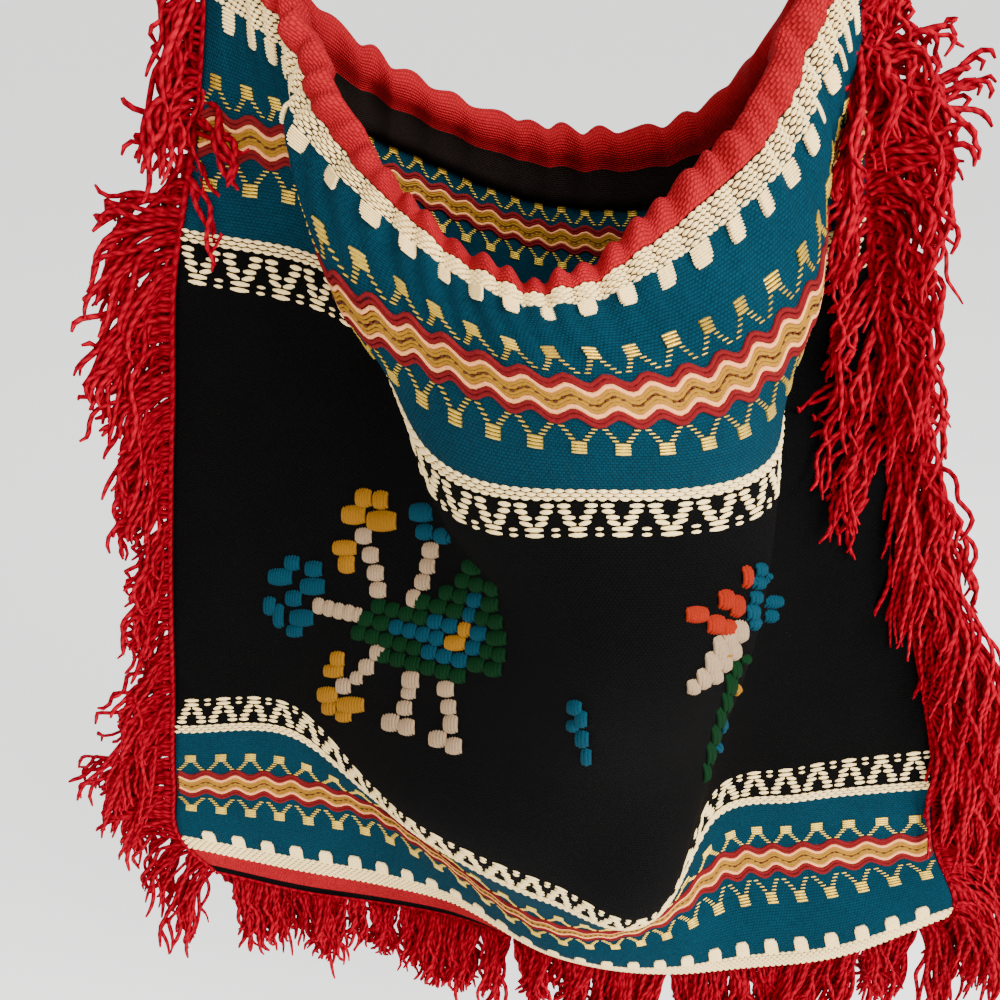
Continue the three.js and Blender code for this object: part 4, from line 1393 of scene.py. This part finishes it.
def strand_way(root, out, ahead, lock, curl):
    """One strand of yarn: out of the seam, over and down, with a curl that grows to the tip."""
    w = np.linspace(0, 1, STRAND_POINTS)[:, None]
    front = np.array([0, -1.0, 0])
    down = np.array([0, 0, -1.0])
    early = 1 - (1 - w) ** 2
    way = out * lock["out"] * early + front * lock["fore"] * early + down * lock["fall"] * w**1.5
    way = way + ahead * (lock["lean"] * w + lock["fray"][0] * w**2) + front * lock["fray"][1] * w**2
    way = way + out * lock["flick"] * w**3
    run = unit(np.gradient(way, axis=0))
    first = unit(np.cross(run, ahead + 0.01))
    second = np.cross(run, first)
    turn = lock["phase"] + lock["pace"] * w
    swing = curl * np.clip(w * CURL["start"], 0, 1) * (CURL["least"] + CURL["growth"] * w)
    aside = first * np.cos(turn) + second * np.sin(turn * CURL["skew"] + 1)
    return root + way * MM + aside * swing


def lock_row(which, along, rng):
    """Reach of a strand by its place along the seam."""
    for inner in INNER_LOCKS:
        here = inner["fringe"] == which and inner["from"] < along < inner["to"]
        if here and rng.uniform() < inner["share"]:
            return inner
    table = FRINGES[which]
    behind = FRINGE_HANG[which]["behind"]
    values = np.array([[row["out"], row["fore"] - behind, row["fall"], row["low"]] for row in table])
    made = curve_at([row["along"] for row in table], values, [along])[0]
    return dict(zip(("out", "fore", "fall", "low"), made))


def fringe_ways(which, sizes):
    """All the strands of one fringe, in clumps, with the cord that they are knotted on."""
    rng = np.random.default_rng(sizes.seed + len(which))
    points, out = seam_line(which)
    ahead = unit(np.gradient(points, axis=0))
    seam_length = np.linalg.norm(np.diff(points, axis=0), axis=1).sum() / MM
    hang = FRINGE_HANG[which]
    count = round(sizes.strands * hang["share"])
    clumps = [{
        "lean": rng.normal(0, hang["lean"]),
        "fore": rng.normal(0, hang["fore"]),
        "long": rng.normal(1, CLUMP["long"]),
        "spread": rng.uniform(0, CLUMP["spread"]),
    } for _ in range(hang["clumps"])]
    ways = []
    for k in range(count):
        along = (k + rng.uniform(0, 1)) / count
        number = min(hang["clumps"] - 1, int(along * hang["clumps"]))
        clump = clumps[number]
        at = min(SEAM_POINTS - 1, int(along * SEAM_POINTS))
        row = lock_row(which, along, rng)
        length = math.hypot(row["out"], row["fall"]) * clump["long"] * rng.normal(1, STRAND["long"])
        share = row["low"] + clump["spread"] + rng.normal(0, STRAND["reach"])
        reach = row["out"] * np.clip(share, *STRAND["reach_range"])
        lock = {
            "out": reach,
            "fore": row["fore"] + clump["fore"] + rng.normal(0, STRAND["fore"]),
            "fall": math.sqrt(max(STRAND["least_fall"] ** 2, length**2 - reach**2)),
            "lean": clump["lean"] + ((number + 0.5) / hang["clumps"] - along) * seam_length * hang["gather"],
            "fray": rng.normal(0, STRAND["fray"], 2),
            "flick": rng.choice([0, hang["flick"]]) * rng.uniform(*STRAND["flick"]),
            "phase": rng.uniform(*STRAND["phase"]),
            "pace": rng.uniform(*STRAND["pace"]),
        }
        root = points[at] + np.array([0, rng.normal(0, STRAND["root"]), 0]) * MM
        whole = np.ones(STRAND_POINTS - len(STRAND_TIP))
        girth = np.r_[whole, STRAND_TIP] * rng.uniform(*STRAND["girth"])
        # Painted shade towards the root, times a tone that differs from strand to strand
        tone = np.linspace(*STRAND_ROOT_SHADE, STRAND_POINTS) * rng.uniform(*STRAND["tone"])
        strand = strand_way(root, out[at], ahead[at], lock, sizes.curl)
        ways.append({"points": strand, "girth": girth, "tone": tone})
    for side in (-1, 1):
        cord = points[::HEADING["skip"]] + np.array([0, side * HEADING["aside"], 0]) * MM
        same = np.ones(len(cord))
        ways.append({"points": cord, "girth": same * HEADING["girth"], "tone": same * HEADING["tone"]})
    return ways


def strap_middle():
    """Middle line of the strap, from its left end over the top to its right end, in millimetres."""
    half = np.array(STRAP_ROUTE, float)
    top = np.array([[0, STRAP_DROP + STRAP_THICK / 2]])
    return np.concatenate([half, top, half[::-1] * np.array([-1, 1])])


def make_strap(name, colours):
    """A plain flat band, woven in the length, with rounded edges."""
    route = strap_middle()
    knots = np.r_[0, np.cumsum(np.linalg.norm(np.diff(route, axis=0), axis=1))]
    along = np.linspace(0, knots[-1], STRAP_STEPS + 1)
    line = curve_at(knots, route, along)
    run = unit(np.gradient(line, axis=0))
    normal = np.stack([-run[:, 1], run[:, 0]], axis=-1)
    across = np.linspace(-1, 1, STRAP_RIBS * 4 + 1)
    rounded = 1 - STRAP_EDGE["thin"] * np.abs(across) ** STRAP_EDGE["power"]
    grooves = 1 - np.abs(np.cos(across * math.pi * STRAP_RIBS / 2))
    half = STRAP_THICK / 2 * rounded - STRAP_GROOVE * grooves
    section = np.concatenate([np.stack([across * STRAP_WIDTH / 2, half], axis=-1),
                              np.stack([across * STRAP_WIDTH / 2, -half], axis=-1)[::-1]])
    x = line[:, 0, None] + normal[:, 0, None] * section[None, :, 1]
    z = line[:, 1, None] + normal[:, 1, None] * section[None, :, 1] - STRAP_DROP
    y = np.broadcast_to(section[None, :, 0], x.shape)
    points = np.stack([x, y, z], axis=-1) * MM
    rows, columns = points.shape[:2]
    index = np.arange(rows * columns).reshape(rows, columns)
    beside = np.roll(index, -1, axis=1)
    quads = np.stack([index[:-1], beside[:-1], beside[1:], index[1:]], axis=-1).reshape(-1, 4)
    caps = [index[0, ::-1].tolist(), index[-1].tolist()]
    uv = np.stack(np.broadcast_arrays((section[None, :, 0] + STRAP_WIDTH) / CLOTH_WIDTH,
                                      along[:, None] / CLOTH_HEIGHT), axis=-1)
    faces = quads[:, ::-1].tolist() + [cap[::-1] for cap in caps]
    mesh = plain_mesh(name, points.reshape(-1, 3), faces, uv.reshape(-1, 2))
    mesh.materials.append(woven_material(name + "_wool", WEAVES["strap"], rgba(colours.strap)))
    return link_object(name, mesh), knots[-1] * MM


def lashing_ways():
    """Ways of the stitches over both strap ends, from the band's outer face down into the seam."""
    x, z, fan = (np.array([row[key] for row in LASHING]) for key in ("x", "z", "fan"))
    ways = []
    for side in (1, -1):
        for place in np.linspace(-LASHING_HALF, LASHING_HALF, LASHING_COUNT):
            y = LASHING_SEAM * (1 - fan) + place * fan
            points = np.stack([side * x, y, z - STRAP_DROP], axis=-1) * MM
            ways.append({"points": points, "girth": 0 * x + 1, "tone": 0 * x + 1})
    return ways


def settings():
    """The colours and the sizes that the scene keeps."""
    return bpy.context.scene.bag_colours, bpy.context.scene.bag_sizes


class BagOperator(Operator):
    """What all makers of pieces share."""

    bl_options = {"REGISTER", "UNDO"}


class BAG_OT_panels(BagOperator):
    """Makes the front and back panels of patterned cloth"""

    bl_idname = "bag.panels"
    bl_label = "Cloth Panels"

    def execute(self, context):
        colours, sizes = settings()
        for name, face, side in (("front_panel", FRONT, 1), ("back_panel", BACK, -1)):
            panel = make_panel(name + "_cloth", face, side, sizes, colours)
            finish_piece(panel, "woven_cloth", name)
        return {"FINISHED"}


class BAG_OT_hems(BagOperator):
    """Makes the gathered hem rolls at the mouth"""

    bl_idname = "bag.hems"
    bl_label = "Hem Rolls"

    def execute(self, context):
        colours, _ = settings()
        for name, face, side in (("front_hem", FRONT, 1), ("back_hem", BACK, -1)):
            finish_piece(make_hem(name + "_roll", face, side, colours), "hem_wool", name)
        return {"FINISHED"}


class BAG_OT_borders(BagOperator):
    """Makes the raised threads of the woven borders"""

    bl_idname = "bag.borders"
    bl_label = "Woven Borders"

    def execute(self, context):
        colours, _ = settings()
        white = wool_material("border_white", colours.cream, THREADS["white"])
        gold = gold_material("border_gold", colours.gold)
        dark = wool_material("border_tie", TIE_COLOUR)
        wools = {name: wool_material("wave_" + name, getattr(colours, name))
                 for name in (cord["wool"] for cord in WAVE_CORDS)}
        makers = {"beads": bead_rows, "blocks": crenel_rows, "towers": tower_rows}
        for name, face, sides, steps in (("front", FRONT, 5, 4), ("back", BACK, 4, 3)):
            for part, maker in makers.items():
                rows = sum((maker(face, border) for border in BORDERS.values()), [])
                piece = make_stitches(f"{name}_white_{part}", rows, white, sides, steps, WHITE_ENDS[part])
                finish_piece(piece, "woven_cloth")
            self.coloured(name, face, CLOTH_OUT, BORDERS.values(), sides, wools, gold, dark)
        self.coloured("inside", BACK, SEAM_GAP, [BORDERS["rim"]], 4, wools, gold, dark)
        return {"FINISHED"}

    def coloured(self, name, face, surface, borders, sides, wools, gold, dark):
        """The gold floats and the wave on one face of the cloth."""
        away = 1 if surface > SEAM_GAP else -1
        out = {key: surface + away * off for key, off in RAISED.items()}
        rows = sum((gold_stitches(face, out["gold"], border) for border in borders), [])
        finish_piece(make_stitches(name + "_gold_floats", rows, gold, sides, 3, GOLD_ENDS), "woven_cloth")
        for wool, material in wools.items():
            ways = sum((wave_ways(face, out["wave"], border, wool) for border in borders), [])
            cords = make_yarns(f"{name}_{wool}_cords", ways, material, MM, WAVE_STEP, sides, WAVE_FLATNESS)
            finish_piece(cords, "woven_cloth")
        ties = sum((wave_ties(face, out["ties"], border) for border in borders), [])
        finish_piece(make_stitches(name + "_wave_ties", ties, dark, 4, 3), "woven_cloth")


class BAG_OT_embroidery(BagOperator):
    """Sews the bird and the flowers on the front field"""

    bl_idname = "bag.embroidery"
    bl_label = "Embroidery"

    def execute(self, context):
        colours, sizes = settings()
        finder = PictureFinder(FRONT)
        for wool, blocks in FIGURES.items():
            ends = block_threads(blocks + body_blocks(wool))
            material = wool_material("embroidery_" + wool, getattr(colours, wool), THREADS["embroidery"])
            piece = make_yarns("embroidery_" + wool, thread_ways(finder, ends), material, sizes.thread,
                               THREAD_STEP, 5, THREAD_FLATNESS)
            finish_piece(piece, "woven_cloth")
        return {"FINISHED"}


class BAG_OT_fringes(BagOperator):
    """Knots the yarn fringes on the seams"""

    bl_idname = "bag.fringes"
    bl_label = "Fringes"

    def execute(self, context):
        colours, sizes = settings()
        material = yarn_material("fringe_yarn", colours.fringe, sizes.ply)
        for which in FRINGES:
            piece = make_yarns("fringe_" + which + "_yarn", fringe_ways(which, sizes), material,
                               sizes.yarn, STRAND_STEP, 4)
            finish_piece(piece, "fringe_wool", "fringe_" + which)
        return {"FINISHED"}


class BAG_OT_strap(BagOperator):
    """Makes the shoulder strap"""

    bl_idname = "bag.strap"
    bl_label = "Strap"

    def execute(self, context):
        colours, sizes = settings()
        strap, length = make_strap("shoulder_strap_band", colours)
        finish_piece(strap, "strap_wool", "shoulder_strap")
        thread = wool_material("lashing_thread", colours.strap)
        lashing = make_yarns("strap_lashing", lashing_ways(), thread, sizes.thread, LASHING_STEP, 6)
        finish_piece(lashing, "strap_wool")
        return {"FINISHED"}


class BAG_OT_sheets(BagOperator):
    """Looks up each panel and the pieces that lie on it, and keeps nothing of them"""

    bl_idname = "bag.sheets"
    bl_label = "Cloth Sizes"

    def execute(self, context):
        for name, also in (("front", "embroidery_"), ("back", "inside_")):
            panel = bpy.data.objects[name + "_panel_cloth"]
            things = [thing for thing in bpy.data.objects if thing != panel]
            decor = [thing for thing in things
                     if thing.name.startswith(name + "_") and thing.get("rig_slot") == "woven_cloth"]
            decor += [thing for thing in things if thing.name.startswith(also)]
        return {"FINISHED"}


def add_light(row):
    """A soft lamp turned towards the bag."""
    lamp = bpy.data.lights.new(row["name"], "AREA")
    lamp.size = row["size"]
    lamp.energy = row["power"]
    thing = link_object(row["name"], lamp)
    thing.location = row["place"]
    way = Vector(LIGHT_GOAL) - Vector(row["place"])
    thing.rotation_euler = way.to_track_quat("-Z", "Y").to_euler()


class BAG_OT_stage(BagOperator):
    """Sets up the floor, the light and the camera"""

    bl_idname = "bag.stage"
    bl_label = "Stage"

    def execute(self, context):
        corners = [(x * FLOOR_HALF, y * FLOOR_HALF, FLOOR_LEVEL)
                   for x, y in ((-1, -1), (1, -1), (1, 1), (-1, 1))]
        mesh = bpy.data.meshes.new("floor")
        mesh.from_pydata(corners, [], [(0, 1, 2, 3)])
        material, _, shader = new_material("floor_paint")
        set_values(shader, FLOOR_PAINT)
        mesh.materials.append(material)
        link_object("floor", mesh)
        world = bpy.data.worlds.new("studio")
        world.use_nodes = True
        set_values(world.node_tree.nodes["Background"], STUDIO)
        context.scene.world = world
        for row in LIGHTS:
            add_light(row)
        lens = bpy.data.cameras.new("camera")
        lens.sensor_width = SENSOR
        lens.lens = FOCAL_PIXELS * SENSOR / PICTURE
        camera = link_object("camera", lens)
        camera.location = CAMERA_PLACE
        camera.rotation_euler = (math.radians(90 - CAMERA_DOWN), 0, 0)
        context.scene.camera = camera
        return {"FINISHED"}


MAKERS = [BAG_OT_panels, BAG_OT_hems, BAG_OT_borders, BAG_OT_embroidery, BAG_OT_fringes, BAG_OT_strap,
          BAG_OT_sheets, BAG_OT_stage]


class BAG_PT_makers(Panel):
    """Lists the makers of the bag's pieces"""

    bl_idname = "BAG_PT_makers"
    bl_label = "Embroidered Bag"
    bl_space_type = "VIEW_3D"
    bl_region_type = "UI"
    bl_category = "Bag"

    def draw(self, context):
        for maker in MAKERS:
            self.layout.operator(maker.bl_idname)
        for group in settings():
            for name in group.__annotations__:
                self.layout.prop(group, name)


CLASSES = [BagColours, BagSizes, *MAKERS, BAG_PT_makers]


def register():
    for cls in CLASSES:
        bpy.utils.register_class(cls)
    bpy.types.Scene.bag_colours = PointerProperty(type=BagColours)
    bpy.types.Scene.bag_sizes = PointerProperty(type=BagSizes)


def unregister():
    del bpy.types.Scene.bag_colours
    del bpy.types.Scene.bag_sizes
    for cls in reversed(CLASSES):
        bpy.utils.unregister_class(cls)


def main():
    """Makes the whole bag and its stage."""
    register()
    bpy.ops.bag.stage()
    bpy.ops.bag.panels()
    bpy.ops.bag.hems()
    bpy.ops.bag.borders()
    bpy.ops.bag.embroidery()
    bpy.ops.bag.fringes()
    bpy.ops.bag.strap()
    bpy.ops.bag.sheets()


if __name__ == "__main__":
    main()
